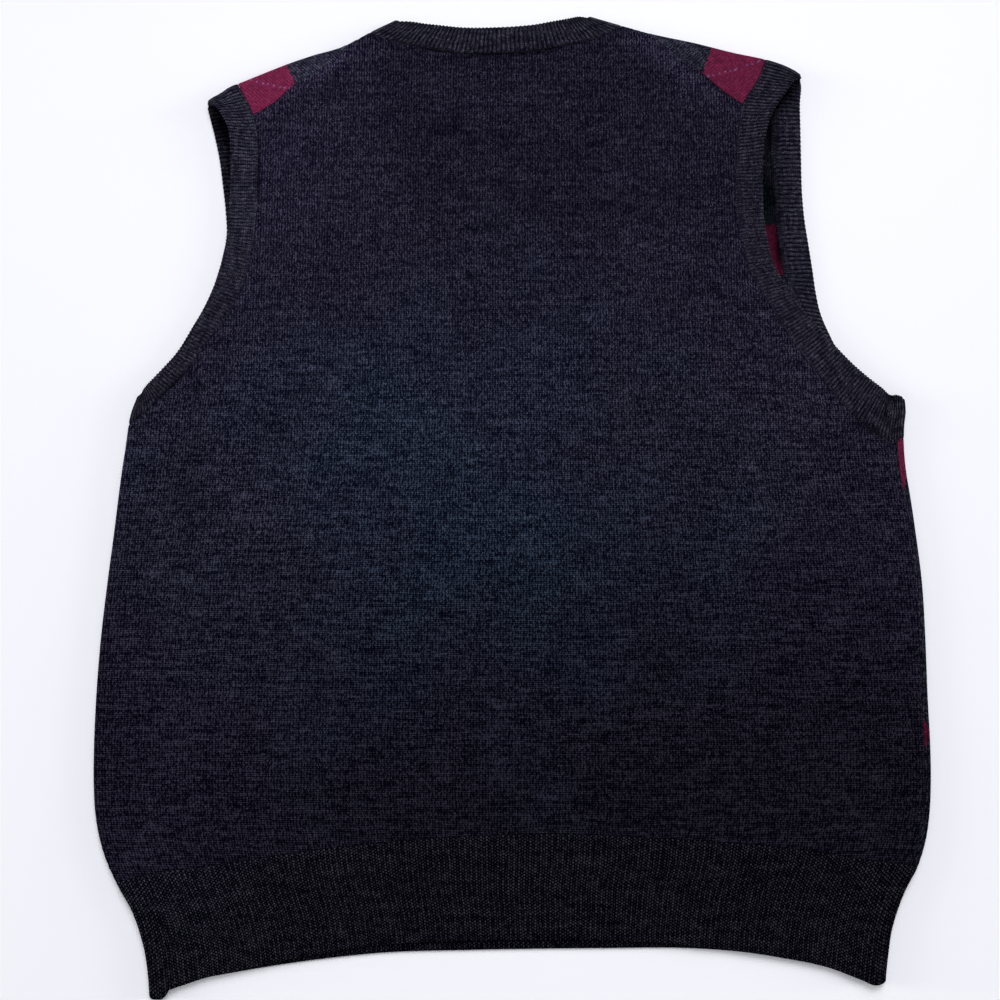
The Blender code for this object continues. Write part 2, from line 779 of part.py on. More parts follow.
# The seams that the panels share, each between two stations of the bands.
left_up, left_over, left_down, left_under = left_band
right_up, right_over, right_down, right_under = right_band
neck_up, neck_over, neck_down, neck_under = neck

left_shoulder_at = nearest(left_up, "back", LEFT_SHOULDER_SEAM_END)
right_shoulder_at = nearest(right_up, "back", RIGHT_SHOULDER_SEAM_END)


def under_fold(stations, fold, inset):
    """The index of the first station this far inside the fold's turn."""
    return next(i for i, s in enumerate(stations) if fold.past(s.seam) < -inset)


side_left_at = len(left_down) - 1 - under_fold(left_down[::-1], LEFT, SIDE_SEAM_INSET - FOLD_RADIUS)
side_right_at = under_fold(right_up, RIGHT, SIDE_SEAM_INSET - FOLD_RADIUS)
neck_left_at = len(neck_down) - 1 - under_fold(neck_down[::-1], SHOULDER_LEFT, NECK_SEAM_UNDERLAP)
neck_right_at = under_fold(neck_down, SHOULDER_RIGHT, NECK_SEAM_UNDERLAP)

seam_left = shoulder_seam(
    LEFT_SHOULDER_SEAM, left_up[left_shoulder_at].seam, in_chart("back", neck_down[neck_left_at])
)
seam_right = shoulder_seam(
    RIGHT_SHOULDER_SEAM, right_up[right_shoulder_at].seam, in_chart("back", neck_down[neck_right_at])
)

right_armhole = thinned(right_up[side_right_at : right_shoulder_at + 1], "back", EDGE_STEP)
left_armhole = thinned(
    left_down[side_left_at:] + left_under + left_up[: left_shoulder_at + 1], "back", EDGE_STEP
)
back_neck = thinned(
    neck_down[neck_left_at:] + neck_under + neck_up + neck_over + neck_down[: neck_right_at + 1],
    "back",
    EDGE_STEP,
)
back_hem_line = hem_line("back")
back_outline = (
    back_hem_line
    + side_seam("back", 1, back_hem_line[-1], right_armhole[0])
    + right_armhole
    + seam_right[1:-1]
    + back_neck[::-1]
    + seam_left[-2:0:-1]
    + left_armhole[::-1]
    + side_seam("back", 0, back_hem_line[0], left_armhole[0])[::-1]
)
add_panel("back", "back_panel", back_outline, charcoal_knit)

front_right_armhole = thinned(
    right_up[right_shoulder_at:] + right_over + right_down + right_under + right_up[: side_right_at + 1],
    "front",
    EDGE_STEP,
)
front_left_armhole = thinned(
    left_up[left_shoulder_at:] + left_over + left_down[: side_left_at + 1], "front", EDGE_STEP
)
front_neck = [station.seam for station in neck_down[neck_right_at : neck_left_at + 1]]
front_hem_line = hem_line("front")
front_outline = (
    front_hem_line
    + side_seam("front", 1, front_hem_line[-1], front_right_armhole[-1])
    + front_right_armhole[::-1]
    + [SHOULDER_RIGHT.mirrored(point) for point in seam_right[1:-1]]
    + front_neck
    + [SHOULDER_LEFT.mirrored(point) for point in seam_left[-2:0:-1]]
    + front_left_armhole
    + side_seam("front", 0, front_hem_line[0], front_left_armhole[-1])[::-1]
)
add_panel("front", "front_panel", front_outline, argyle_knit)

add_hem("back", "back_hem", charcoal_rib)
add_hem("front", "front_hem", charcoal_rib)
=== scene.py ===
"""The look of a knitted V-neck slipover vest, laid flat on its front with its back up.

Every piece is cut flat, in a chart: the plan of the layer that it starts on, carried straight on past the
fold lines. lay() rolls what lies past a fold line round to the other layer. Lengths in the tables are
millimetres. +X is to the right as seen from above, and +Y runs from the hem to the neck.
"""

import math
from collections import namedtuple

import bmesh
import bpy
import numpy as np
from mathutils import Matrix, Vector
from mathutils.geometry import delaunay_2d_cdt


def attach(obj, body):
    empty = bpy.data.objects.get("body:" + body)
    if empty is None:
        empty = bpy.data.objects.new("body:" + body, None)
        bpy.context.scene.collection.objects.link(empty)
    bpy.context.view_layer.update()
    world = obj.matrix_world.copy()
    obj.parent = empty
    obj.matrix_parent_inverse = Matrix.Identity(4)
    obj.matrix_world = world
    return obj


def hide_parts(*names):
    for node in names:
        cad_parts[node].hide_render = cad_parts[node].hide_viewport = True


bl_info = {
    "name": "Slipover vest",
    "version": (1, 0, 0),
    "blender": (4, 5, 0),
    "location": "View3D > Sidebar > Slipover",
    "description": "Knitted V-neck slipover vest, laid flat with its back up",
    "category": "Object",
}

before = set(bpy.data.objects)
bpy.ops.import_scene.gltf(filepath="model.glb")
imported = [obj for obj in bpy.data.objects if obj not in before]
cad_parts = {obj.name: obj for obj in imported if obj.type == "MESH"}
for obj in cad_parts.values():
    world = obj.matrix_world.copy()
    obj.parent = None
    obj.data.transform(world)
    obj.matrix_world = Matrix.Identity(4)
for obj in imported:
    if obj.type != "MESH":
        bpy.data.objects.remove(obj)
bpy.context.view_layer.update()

MM = 0.001

# The cloth, as the solids have it.
WALL = 1.8 * MM  # thickness
SEAM_GAP = 0.3 * MM
PANEL_INSET, HEM_INSET = SEAM_GAP / 3, SEAM_GAP / 6  # the panels and the hems' tops are cut smaller by these
FOLD_RADIUS = 2.7 * MM
HALF_TURN = math.pi * FOLD_RADIUS  # outer length of the cloth round a fold
SETTLE = -1.0 * MM  # how far the upper layer sinks towards the lower one, away from the folds
SETTLE_REACH = 45 * MM  # from the folds to where it has sunk fully
LIFT_REACH = 10 * MM  # from the folds to where it stands up fully, at the places listed as lifts
SIDE_SEAM_INSET = 5 * MM  # the side seams lie this far inside the outline
NECK_SEAM_UNDERLAP = 4 * MM  # the shoulder seams meet the neckband this far past its shoulder folds

# How finely it is modelled.
FOLD_STEPS = 10  # facets round a fold
FOLD_CLEARANCE = 1.5 * MM  # the panels' inner points keep this far from a fold's facets
FOLD_LINE_MARGIN = 1.3  # and the facets' points this far from a cut edge, in widths of its roll
SIDE_OVERRUN = 20 * MM  # how far a side fold runs on past the hem's lower edge
SHOULDER_OVERRUN = 1 * MM
RIB_STEPS = 8  # sections in one rib
HEM_ROWS = 17  # rows of points up a hem
HEM_TRIES = 4  # a hem point's height and its place across depend on each other
HEM_LINE_READINGS = 3000  # places read along the hem line to find its steps
EDGE_STEP = 3.5 * MM  # along the cut edges
NEAR_TURN = 16 * MM  # edges are cut finely within this distance of a fold
SIDE_STEP = 6 * MM  # along the side seams and the folds
LATTICE_STEP = 4.2 * MM  # in the panels' middle
LATTICE_MARGIN = 3.2 * MM  # and this far from their edges
EDGE_ROLL = 1.7 * MM  # width of the strip beside a cut edge where the cloth rolls down into the seam
EDGE_RINGS = (0.4 * EDGE_ROLL, EDGE_ROLL)  # rings of points inside a cut edge
RING_CLEARANCE = 0.9  # points of a ring that come nearer to the edge than this part of its distance go
EDGE_DIP = 0.75 * MM  # how deep the cloth rolls down at the deepest seams
INNER_DIP = 0.6  # how much of that the inner face follows
SHARPEST_MITRE = 0.8  # keeps the corners of an edge that is moved inwards from running far out
SAME_POINT = 1e-7  # points of a cut that lie nearer than this are one
SAME_PLACE = 1e-6  # so are sections of a band
BATCH = 1000  # points whose distances are worked out at a time

# The vest's outline below the armholes: height, left side, right side.
SIDES = (
    (-345, -241.5, 248), (-332, -243, 249), (-318, -245.5, 251.2), (-304, -249.8, 253.8),
    (-290, -255.8, 258.6), (-276, -264.5, 265), (-262, -272.4, 273.4), (-247, -278.2, 279),
    (-230, -282.3, 282.6), (-208, -284.7, 284.8), (-184, -285.6, 285.6), (-150, -285.6, 285.4),
    (-110, -284.2, 285.7), (-70, -281.2, 285.1), (-38, -278.3, 282.5), (-12, -276.2, 279.9),
    (8, -274.4, 277.5), (25, -272.5, 276.8), (41, -270.9, 277.6), (50, -269.2, 279),
    (60, -265.8, 278.6),
)
UNDERARM_TOP = 64  # the side folds end here

# The folded shoulder lines, from the armhole to the neck: x, y.
LEFT_SHOULDER = (
    (-224.6, 280.2), (-219.6, 284.2), (-213.6, 287.6), (-207.5, 292.2), (-201, 295.2),
    (-184, 302.6), (-164, 311), (-145, 317.8), (-126, 323.6), (-115, 329.4), (-104, 335.6),
    (-83.5, 346),
)
RIGHT_SHOULDER = (
    (213.6, 301.4), (210, 304.4), (204.5, 307.6), (187, 314.2), (165, 319.2), (136, 326.9),
    (106, 333.7), (81.4, 340.7), (56.5, 348.4),
)
LEFT_SHOULDER_SLOPE = math.radians(23)
RIGHT_SHOULDER_SLOPE = math.radians(-14.5)

# The shoulder seams in the back's chart, from the armhole to the neck, between those two ends: x, y.
LEFT_SHOULDER_SEAM = ((-173, 281), (-160, 293.5), (-143, 304.5), (-126, 316.5), (-120, 326), (-113, 336))
RIGHT_SHOULDER_SEAM = ((154.4, 290.3), (143, 300.7), (120.2, 318.2), (106, 328.6), (97, 338), (90, 344))
LEFT_SHOULDER_SEAM_END = (-186, 271.8)
RIGHT_SHOULDER_SEAM_END = (166, 280.2)

# The line where the ribbed hem starts, and the lower edge of the front hem: x, y.
HEM_TOP = (
    (-272, -273), (-257, -270), (-240, -266.2), (-202, -261.2), (-160, -255), (-120, -249.6),
    (-66, -244.4), (-8, -241), (55, -241), (99, -243.2), (142, -246), (185, -249.8),
    (228, -255.7), (261, -260), (275, -262),
)
HEM_BOTTOM = (
    (-242, -346.4), (-236, -347.4), (-231.5, -346.2), (-229, -342.2), (-225, -340.4),
    (-217, -338), (-208, -335.2), (-187, -331.2), (-130, -322.6), (-87, -318.3), (-30, -316.6),
    (60, -315.4), (118, -315.4), (141, -316.7), (179, -321.1), (210, -327), (232, -334.8),
    (242, -338.4), (248, -336.6),
)
# How far the back hem stops short of the front hem's lower edge: x, distance.
HEM_PEEK = (
    (-242, 0), (-205, 0.5), (-150, 3), (-90, 5.2), (0, 6.4), (70, 5), (130, 1.6), (180, 0.2), (248, 0),
)

# The ribbed bands: seam x, seam y, free edge x, free edge y.
LEFT_BAND_UNDERARM = (-270.9, 41, -264.6, 63.0)
LEFT_BAND_UPPER = (
    (-254.5, 54.6, -260.2, 67.6), (-245.8, 63.8, -255.8, 72.6), (-235.6, 73.8, -247, 82.6),
    (-225.4, 88.2, -237.4, 94.8), (-214, 105, -227.8, 112), (-201.8, 121.7, -218.8, 128.5),
    (-193.5, 141, -212.4, 146), (-188, 162, -207.6, 166), (-185, 185, -205.2, 186),
    (-184, 212, -204.2, 212), (-184.4, 238, -204.3, 238), (-185.5, 256, -205.8, 257),
    (-187.8, 268.5, -209.5, 266.5), (-193, 280, -215, 274.6),
)
LEFT_BAND_SHOULDER = (-201, 295.2, -223.8, 281.2)
LEFT_BAND_LOWER = (
    (-199.4, 283, -223, 276.4), (-198.4, 275, -221.2, 269.8), (-196.8, 258, -217.4, 256),
    (-193.5, 239, -213.4, 238.5), (-190.3, 219, -210.4, 219), (-187.8, 200, -207.8, 200),
    (-186.5, 182, -206.4, 182), (-189, 162, -208.6, 165.5), (-195, 141, -213.6, 145.5),
    (-203.2, 122.5, -220.2, 128.6), (-214.5, 104.5, -229, 111.5), (-226.5, 88, -238.4, 94.6),
    (-239.5, 72.5, -248, 82.8), (-248, 62.5, -256.6, 72.6), (-256.5, 53, -261.4, 67),
)
RIGHT_BAND_UNDERARM = (277, 31, 279, 62.2)
RIGHT_BAND_UPPER = (
    (268.5, 25.8, 271.8, 62), (259, 32.8, 268.6, 61.4), (247, 42.2, 262.5, 67.2),
    (235, 53.8, 252.5, 75.6), (224.5, 67, 242.5, 85), (215, 80, 232.8, 95.6), (206.5, 91.6, 224, 105.8),
    (198.4, 103.8, 216, 115.6), (189.6, 119.2, 206, 128), (179, 138.3, 196.6, 143),
    (171.5, 153, 189.6, 156.5), (166.2, 172.5, 185.4, 174), (163.4, 192, 183, 192.5),
    (162.5, 212, 182.3, 212), (163.2, 230, 182.8, 231), (165, 248, 184.6, 250),
    (166.8, 265, 188.2, 265.5), (170.4, 281, 194.4, 278), (177.4, 292, 201.6, 288.4),
    (183, 302, 207.4, 296),
)
RIGHT_BAND_SHOULDER = (187, 314.2, 214.0, 302.2)
RIGHT_BAND_LOWER = (
    (188, 300, 213.7, 294), (190, 283, 212.4, 281), (189.6, 262, 212.1, 262), (189.3, 238, 211.8, 238),
    (189.8, 214, 211.6, 214), (191, 194, 212.6, 194), (193.3, 170, 215.4, 170), (196, 152.5, 217.4, 153),
    (200, 141.5, 218.8, 139.5), (205.2, 127, 221.4, 124), (211, 110, 227.2, 108), (218.5, 94.5, 234, 94),
    (228.5, 79.5, 242.5, 84), (240.5, 66, 252, 75.5), (253, 53.5, 262, 66.5), (265, 41.5, 270.6, 62.4),
)
NECK_LEFT_FOLD = (-104, 335.6, -83.5, 345.4)
NECK_UPPER = (
    (-94, 329.6, -75, 343.2), (-80, 326.2, -65, 342), (-60, 321.8, -50, 340.4), (-38, 318.8, -33, 339.1),
    (-12, 318.3, -12, 339.3), (14, 320.2, 12, 340.8), (38, 324.3, 31, 343.8), (58, 328.4, 43.5, 345.9),
    (72, 333.6, 50.5, 347),
)
NECK_RIGHT_FOLD = (81.4, 340.7, 56.5, 348.0)
NECK_RIGHT_LEG = (
    (63.4, 292, 44.8, 299.3), (45.2, 245.6, 26.6, 252.9), (26.6, 199, 8, 206.4), (15, 170.7, -3, 180),
)
NECK_POINT = (-4.0, 122.0, -5.6, 172.7)
NECK_LEFT_LEG = (
    (-26, 169, -8.2, 180), (-39.4, 197, -21.3, 205.5), (-61.4, 243, -43.3, 251.5),
    (-82.6, 288.2, -64.5, 296.7),
)

# Broad swells and hollows of the upper layer: middle x, y, half length, half width, turn in degrees, height.
SWELLS = (
    (-40, -60, 190, 70, 8, 1.3), (90, 95, 120, 34, -24, 1.1), (-130, 120, 90, 28, 52, 0.9),
    (30, 262, 110, 16, 4, 0.9), (-55, 246, 46, 14, 10, -0.5), (85, 214, 44, 9, 14, -0.6),
    (215, -20, 30, 130, 6, 1.2), (-215, -90, 28, 140, -5, 1.1), (60, -200, 170, 26, -3, 0.8),
)
# Soft troughs and ridges pressed into the cloth: start x, y, end x, y, half width, height.
CREASES = (
    (241, 46, 262, 32, 3.5, -0.5), (232, 52, 250, 30, 5, 0.6), (269, 61, 264, 51, 1.6, -0.5),
    (264, 51, 265.5, 34, 2, -0.5), (273, 60, 272, 40, 3, 0.5), (99, 333, 160, 285, 1.8, -0.35),
    (95, 330, 154, 282, 2.6, 0.4), (-117, 326, -176, 283, 1.8, -0.3), (-113, 323, -172, 279, 2.6, 0.4),
    (-244, 58, -224, 78, 2.2, 0.45), (-236, 44, -214, 20, 9, -0.45), (-246, 30, -232, -20, 8, 0.5),
    (58, 214, 100, 232, 6, 0.6), (70, 204, 116, 216, 6, -0.35), (-52, 262, -20, 270, 9, -0.4),
    (-70, 280, 20, 284, 7, 0.5), (-190, -206, -60, -196, 12, 0.5), (40, -214, 210, -226, 12, 0.45),
    (-120, 30, 10, 52, 16, 0.35), (60, -40, 200, -66, 16, 0.35),
)
# Places where the upper layer stands up beside a fold, in the same terms as the swells.
LIFTS = ((-211, 262, 30, 9, 108, 2.8), (193, 266, 30, 10, 68, 2.8))
# Seams pressed deep: middle x, y, half length, half width, turn in degrees, and the part of the full depth if
# it is less. The rest are shallow.
DEEP_SEAMS = (
    (-10, 322, 75, 18, 0), (-246, 62, 34, 14, 40), (-178, 292, 16, 10, -60, 0.5),
    (-184, 236, 30, 8, 90, 0.7), (160, 300, 16, 10, 55, 0.5), (215, 76, 70, 10, -52, 0.35),
)
SHALLOW_SEAM = 0.22

# Tone painted on the upper and the lower layer, for shade and uneven light as the vest lies: middle x, y,
# half length, half width, turn in degrees, and the part taken off, or put on if negative.
TOP_SHADES = (
    (-45, 259, 17, 8, 8, 0.34), (-38, 275, 44, 6, 5, -0.16), (71, 202, 42, 9, 12, 0.22),
    (71, 221, 46, 6, 12, -0.14), (251, 37.5, 14, 3.2, -27, 0.62), (-227, 8, 12, 30, 0, 0.2),
    (-52, 320.6, 26, 1.7, -9, 0.55), (-10, 318, 26, 1.7, 2, 0.7), (32, 322.4, 26, 1.7, 12, 0.6),
    (-184, 232, 30, 1.3, 90, 0.5), (-239.5, 70, 18, 1.4, 48, 0.7), (0, 250, 230, 80, 0, 0.14),
    (240, -70, 120, 60, 90, 0.18), (-245, -230, 100, 80, 90, -0.44), (-150, 250, 75, 50, 90, -0.36),
    (-120, -165, 150, 90, 90, -0.05), (110, -75, 150, 85, 90, 0.2), (-200, 225, 90, 26, 92, -0.22),
    (-183, 292, 24, 12, 25, -0.1), (-135, 311, 26, 9, 20, -0.5), (-10, 335, 110, 20, 0, 0.06),
    (119, 320, 24, 8, -35, -0.45), (126, 302, 44, 4.6, -38, -0.5), (122.5, 320.5, 28, 2.4, -38, 0.45),
    (-141, 301.5, 40, 4.4, 38, -0.36), (-137, 296, 36, 3, 38, 0.22), (267, 57.5, 4.5, 1.3, 62, 0.6),
    (264.3, 47, 8, 1.4, 92, 0.55),
)
LOW_SHADES = (
    (-212, 262, 24, 7, 110, 0.95), (-206, 225, 24, 4, 92, 0.7), (200.5, 285, 20, 6, 53, 0.92),
    (188.6, 257, 25, 5, 86, 0.92), (186, 210, 36, 10, 91, 0.94), (188, 165, 28, 9, 105, 0.45),
    (192.8, 168, 22, 2.2, 95, 0.9),
)

# The small unevenness of cloth that has been worn, in waves: direction in degrees, length, shift.
RIPPLES = ((20, 31, 0.4), (75, 43, 2.1), (128, 26, 4.4), (160, 57, 1.3), (48, 19, 5.2))
RIPPLE = 0.16 * MM / 3  # height of one wave
RIPPLE_BEND = (1.2, 3.3)  # how far the waves bend, and over how many of their lengths


def smooth(marks, values):
    """A smooth function through the values at rising marks. It runs straight on past both ends."""
    marks = np.array(marks, float)
    values = np.array(values, float)
    slopes = np.gradient(values, marks, axis=0)

    def read(mark):
        mark = np.asarray(mark, float)
        inner = np.clip(mark, marks[0], marks[-1])
        i = np.clip(np.searchsorted(marks, inner, side="right") - 1, 0, len(marks) - 2)
        span = marks[i + 1] - marks[i]
        t = (inner - marks[i]) / span
        beyond = mark - inner
        if values.ndim > 1:
            span, t, beyond = span[..., None], t[..., None], beyond[..., None]
        rise = t * t * (3 - 2 * t)
        end_slope = np.where(beyond < 0, slopes[0], slopes[-1])
        return (
            values[i] * (1 - rise)
            + values[i + 1] * rise
            + slopes[i] * span * t * (1 - t) ** 2
            - slopes[i + 1] * span * t * t * (1 - t)
            + end_slope * beyond
        )

    return read


def smooth_column(table, column):
    """The smooth function from a table's first column, in rising order, to one of the others."""
    rows = np.array(table, float) * MM
    return smooth(rows[:, 0], rows[:, column])


def spread(points, step):
    """Points along the smooth line through these ones, about a step apart, both ends kept."""
    points = np.array(points, float)
    marks = np.concatenate([[0.0], np.cumsum(np.linalg.norm(np.diff(points, axis=0), axis=1))])
    count = max(1, round(marks[-1] / step))
    return list(smooth(marks, points)(np.linspace(0, marks[-1], count + 1)))


def ease(value):
    """Rises smoothly from 0 to 1 as the value does."""
    value = np.clip(value, 0.0, 1.0)
    return value * value * (3 - 2 * value)


class Fold:
    """A line where the cloth turns from one layer to the other.

    A point is read as how far it lies along the fold and how far out towards it. line() gives how far out the
    folded edge is. The cloth starts to turn one radius before it.
    """

    def __init__(self, out, line, first, last):
        self.out = np.array(out, float)
        self.along = np.array((self.out[1], -self.out[0]))
        self.line = line
        self.first = first
        self.last = last

    def past(self, points):
        """How far beyond the start of the turn points of the chart are."""
        return points @ self.out - (self.line(points @ self.along) - FOLD_RADIUS)

    def holds(self, points):
        """Whether points lie beside this fold's length."""
        along = points @ self.along
        return (self.first <= along) & (along <= self.last)

    def turn_start(self, point):
        """The point moved straight out or in to where the cloth starts to turn."""
        return point - self.out * self.past(point)

    def mirrored(self, points):
        """The same points of the cloth in the other layer's chart."""
        return points + self.out * (HALF_TURN - 2 * self.past(points))[..., None]

    def inset(self, points):
        """Distance from points on the laid cloth to this fold."""
        along = points @ self.along
        nearest = np.clip(along, self.first, self.last)
        return np.hypot(np.maximum(self.line(nearest) - points @ self.out, 0.0), along - nearest)


left_side = smooth_column(SIDES, 1)
right_side = smooth_column(SIDES, 2)
hem_top = smooth_column(HEM_TOP, 1)
hem_bottom = smooth_column(HEM_BOTTOM, 1)
hem_peek = smooth_column(HEM_PEEK, 1)


def side_fold(side, sign):
    """The fold down one side. Its along axis is -Y on the right and +Y on the left."""
    lowest = SIDES[0][0] * MM - SIDE_OVERRUN
    ends = sorted((-sign * lowest, -sign * UNDERARM_TOP * MM))
    return Fold((sign, 0), lambda along: sign * side(-sign * along), *ends)


def shoulder_fold(points, slope):
    """The fold along one shoulder, whose out axis leans from +Y by the slope."""
    out = np.array((-math.sin(slope), math.cos(slope)))
    along = np.array((out[1], -out[0]))
    points = np.array(points, float) * MM
    points = points[np.argsort(points @ along)]
    marks = points @ along
    return Fold(out, smooth(marks, points @ out), marks[0] - SHOULDER_OVERRUN, marks[-1] + SHOULDER_OVERRUN)


LEFT = side_fold(left_side, -1)
RIGHT = side_fold(right_side, 1)
SHOULDER_LEFT = shoulder_fold(LEFT_SHOULDER, LEFT_SHOULDER_SLOPE)
SHOULDER_RIGHT = shoulder_fold(RIGHT_SHOULDER, RIGHT_SHOULDER_SLOPE)
FOLDS = (LEFT, RIGHT, SHOULDER_LEFT, SHOULDER_RIGHT)


def creased(points):
    """Height of the pressed-in troughs and ridges at points of the upper layer."""
    height = np.zeros(len(points))
    for x0, y0, x1, y1, half_width, rise in CREASES:
        start, end = np.array((x0, y0)) * MM, np.array((x1, y1)) * MM
        run = end - start
        part = np.clip((points - start) @ run / (run @ run), 0, 1)
        far = np.linalg.norm(points - start - part[:, None] * run, axis=1) / (half_width * MM)
        height += rise * MM * np.exp(-far * far)
    return height


def rippled(points):
    """Height of the worn cloth's small unevenness at these points."""
    height = np.zeros(len(points))
    bent, bend_length = RIPPLE_BEND
    for turn, length, shift in RIPPLES:
        direction = np.array((math.cos(math.radians(turn)), math.sin(math.radians(turn))))
        bend = bent * np.sin(points @ direction[::-1] * 2 * math.pi / (bend_length * length * MM))
        height += np.sin(points @ direction * 2 * math.pi / (length * MM) + shift + bend)
    return height * RIPPLE


def turned(points, degrees):
    """How far points lie along and across axes that are turned by this angle."""
    x, y = points.T
    c, s = math.cos(math.radians(degrees)), math.sin(math.radians(degrees))
    return c * x + s * y, c * y - s * x


def ovals(points, table):
    """What each row of a table comes to at these points: its sixth number, or 1, in the middle of its oval,
    and less further out."""
    for x, y, half_length, half_width, turn, *most in table:
        along, across = turned(points - np.array((x, y)) * MM, turn)
        far = (along / (half_length * MM)) ** 2 + (across / (half_width * MM)) ** 2
        yield (most[0] if most else 1.0) * np.exp(-far)


def loft(points):
    """How far the upper layer's outer face lies above or below the height of the folds."""
    inset = np.min([fold.inset(points) for fold in FOLDS], axis=0)
    settled = ease(inset / SETTLE_REACH)
    height = SETTLE + sum(ovals(points, SWELLS)) * MM
    pressed = creased(points) + rippled(points)
    lifted = sum(ovals(points, LIFTS)) * MM
    return settled * height + ease(settled * 2) * pressed + ease(inset / LIFT_REACH) * lifted


def lay(face, points, depth):
    """Where points of a chart come to lie, this deep inside the cloth's outer face."""
    points = np.array(points, float)
    depth = np.broadcast_to(np.asarray(depth, float), len(points))
    turn = np.zeros(len(points))
    done = np.zeros(len(points), bool)
    for fold in FOLDS:
        past = fold.past(points)
        here = (past > 0) & fold.holds(points) & ~done
        angle = np.minimum(past / FOLD_RADIUS, math.pi)
        shift = (FOLD_RADIUS - depth) * np.sin(angle) - past - np.maximum(past - HALF_TURN, 0.0)
        points = points + np.where(here, shift, 0.0)[:, None] * fold.out
        turn = np.where(here, angle, turn)
        done |= here
    if face == "front":
        turn = math.pi - turn
    height = FOLD_RADIUS + (FOLD_RADIUS - depth) * np.cos(turn)
    height += np.where(turn == 0.0, loft(points), 0.0)
    return np.column_stack([points, height])


def facing_up(face, points):
    """How far the outer face of the cloth at points of a chart faces up, from -1 to 1."""
    middle = lay(face, points, WALL / 2)[:, 2]
    return np.clip((middle - FOLD_RADIUS) / (FOLD_RADIUS - WALL / 2), -1.0, 1.0)


# One place along a band: the layer whose chart it is in, its two edges there, the fold that is nearest, and
# how many ribs lie before it.
Station = namedtuple("Station", "face seam free fold ribs")


def in_chart(face, station):
    """A station's seam point in the chart of this face."""
    return station.seam if station.face == face else station.fold.mirrored(station.seam)


def fold_row(row, fold):
    """A fold row moved in to where the cloth starts to turn."""
    seam, free = np.array(row[:2], float) * MM, np.array(row[2:], float) * MM
    return np.concatenate([fold.turn_start(seam), fold.turn_start(free)]) / MM


def stretch(face, rows, first_fold, last_fold, pitch, ribs):
    """Stations along one stretch of a band, a part of a rib apart, after this many ribs."""
    rows = np.array(rows, float) * MM
    steps = [np.linalg.norm(np.diff(rows[:, i : i + 2], axis=0), axis=1) for i in (0, 2)]
    marks = np.concatenate([[0.0], np.cumsum(np.maximum(*steps))])
    whole = max(1, round(marks[-1] / pitch))
    at = np.linspace(0, marks[-1], whole * RIB_STEPS + 1)
    read = smooth(marks, rows)(at)
    half = marks[-1] / 2
    return [
        Station(face, row[:2], row[2:], first_fold if mark < half else last_fold, ribs + i / RIB_STEPS)
        for i, (mark, row) in enumerate(zip(at, read))
    ]


def turn_over(station, fold, pitch):
    """The stations round a fold, in the chart of the station that it starts from, both ends left out."""
    ribs = round(HALF_TURN / pitch)
    count = ribs * RIB_STEPS
    return [
        Station(
            station.face,
            station.seam + fold.out * HALF_TURN * i / count,
            station.free + fold.out * HALF_TURN * i / count,
            fold,
            station.ribs + i / RIB_STEPS,
        )
        for i in range(1, count)
    ]


def band_loop(first_row, upper, last_row, lower, first_fold, last_fold, upper_pitch, lower_pitch):
    """All stations of a band: up its stretch on the back, over the last fold, back along the front, and
    under. Its lower stretch turns a sharp corner at each row that starts a new table."""
    first_row, last_row = fold_row(first_row, first_fold), fold_row(last_row, last_fold)
    up = stretch("back", [first_row, *upper, last_row], first_fold, last_fold, upper_pitch, 0)
    over = turn_over(up[-1], last_fold, upper_pitch)
    tables = [[last_row, *lower[0]], *lower[1:]]
    tables[-1] = [*tables[-1], first_row]
    down = []
    ribs = round(over[-1].ribs)
    for table in tables:
        down = down[:-1] + stretch("front", table, last_fold, first_fold, lower_pitch, ribs)
        ribs = round(down[-1].ribs)
    return up, over, down, turn_over(down[-1], first_fold, lower_pitch)


def nearest(stations, face, point):
    """The index of the station whose seam is nearest to a point of a chart."""
    point = np.array(point, float) * MM
    return min(range(len(stations)), key=lambda i: np.linalg.norm(in_chart(face, stations[i]) - point))


def thinned(stations, face):
    """A run of stations as points of a chart, a step apart, and closer round a fold."""
    points = [in_chart(face, stations[0])]
    for station in stations[1:-1]:
        point = in_chart(face, station)
        turning = abs(station.fold.past(point) - HALF_TURN / 2) < HALF_TURN / 2 + NEAR_TURN
        if np.linalg.norm(point - points[-1]) > (EDGE_STEP / 4 if turning else EDGE_STEP):
            points.append(point)
    points.append(in_chart(face, stations[-1]))
    return points


def under_fold(stations, fold, inset):
    """The index of the first station this far inside the fold's turn."""
    return next(i for i, station in enumerate(stations) if fold.past(station.seam) < -inset)


def hem_ends(face, height):
    """Where a hem or a panel starts and ends across the chart at this height."""
    tail = HALF_TURN + SIDE_SEAM_INSET - FOLD_RADIUS
    if face == "back":
        return left_side(height) + FOLD_RADIUS - tail, right_side(height) - SIDE_SEAM_INSET
    return left_side(height) + SIDE_SEAM_INSET, right_side(height) - FOLD_RADIUS + tail


def hem_line(face):
    """The points of a chart along the top of the hem, from its left seam to its right one."""
    start = hem_ends(face, HEM_TOP[0][1] * MM)[0]
    end = hem_ends(face, HEM_TOP[-1][1] * MM)[1]
    xs = np.linspace(start, end, HEM_LINE_READINGS)
    rough = np.where(xs < 0, HEM_TOP[0][1] * MM, HEM_TOP[-1][1] * MM)
    line = np.column_stack([xs, hem_top(lay(face, np.column_stack([xs, rough]), 0.0)[:, 0])])
    points = [line[0]]
    for point in line[1:]:
        fold = LEFT if point[0] < 0 else RIGHT
        turning = -SIDE_SEAM_INSET < fold.past(point) < HALF_TURN + SIDE_SEAM_INSET
        if np.linalg.norm(point - points[-1]) >= (HALF_TURN / FOLD_STEPS if turning else EDGE_STEP):
            points.append(point)
    return points


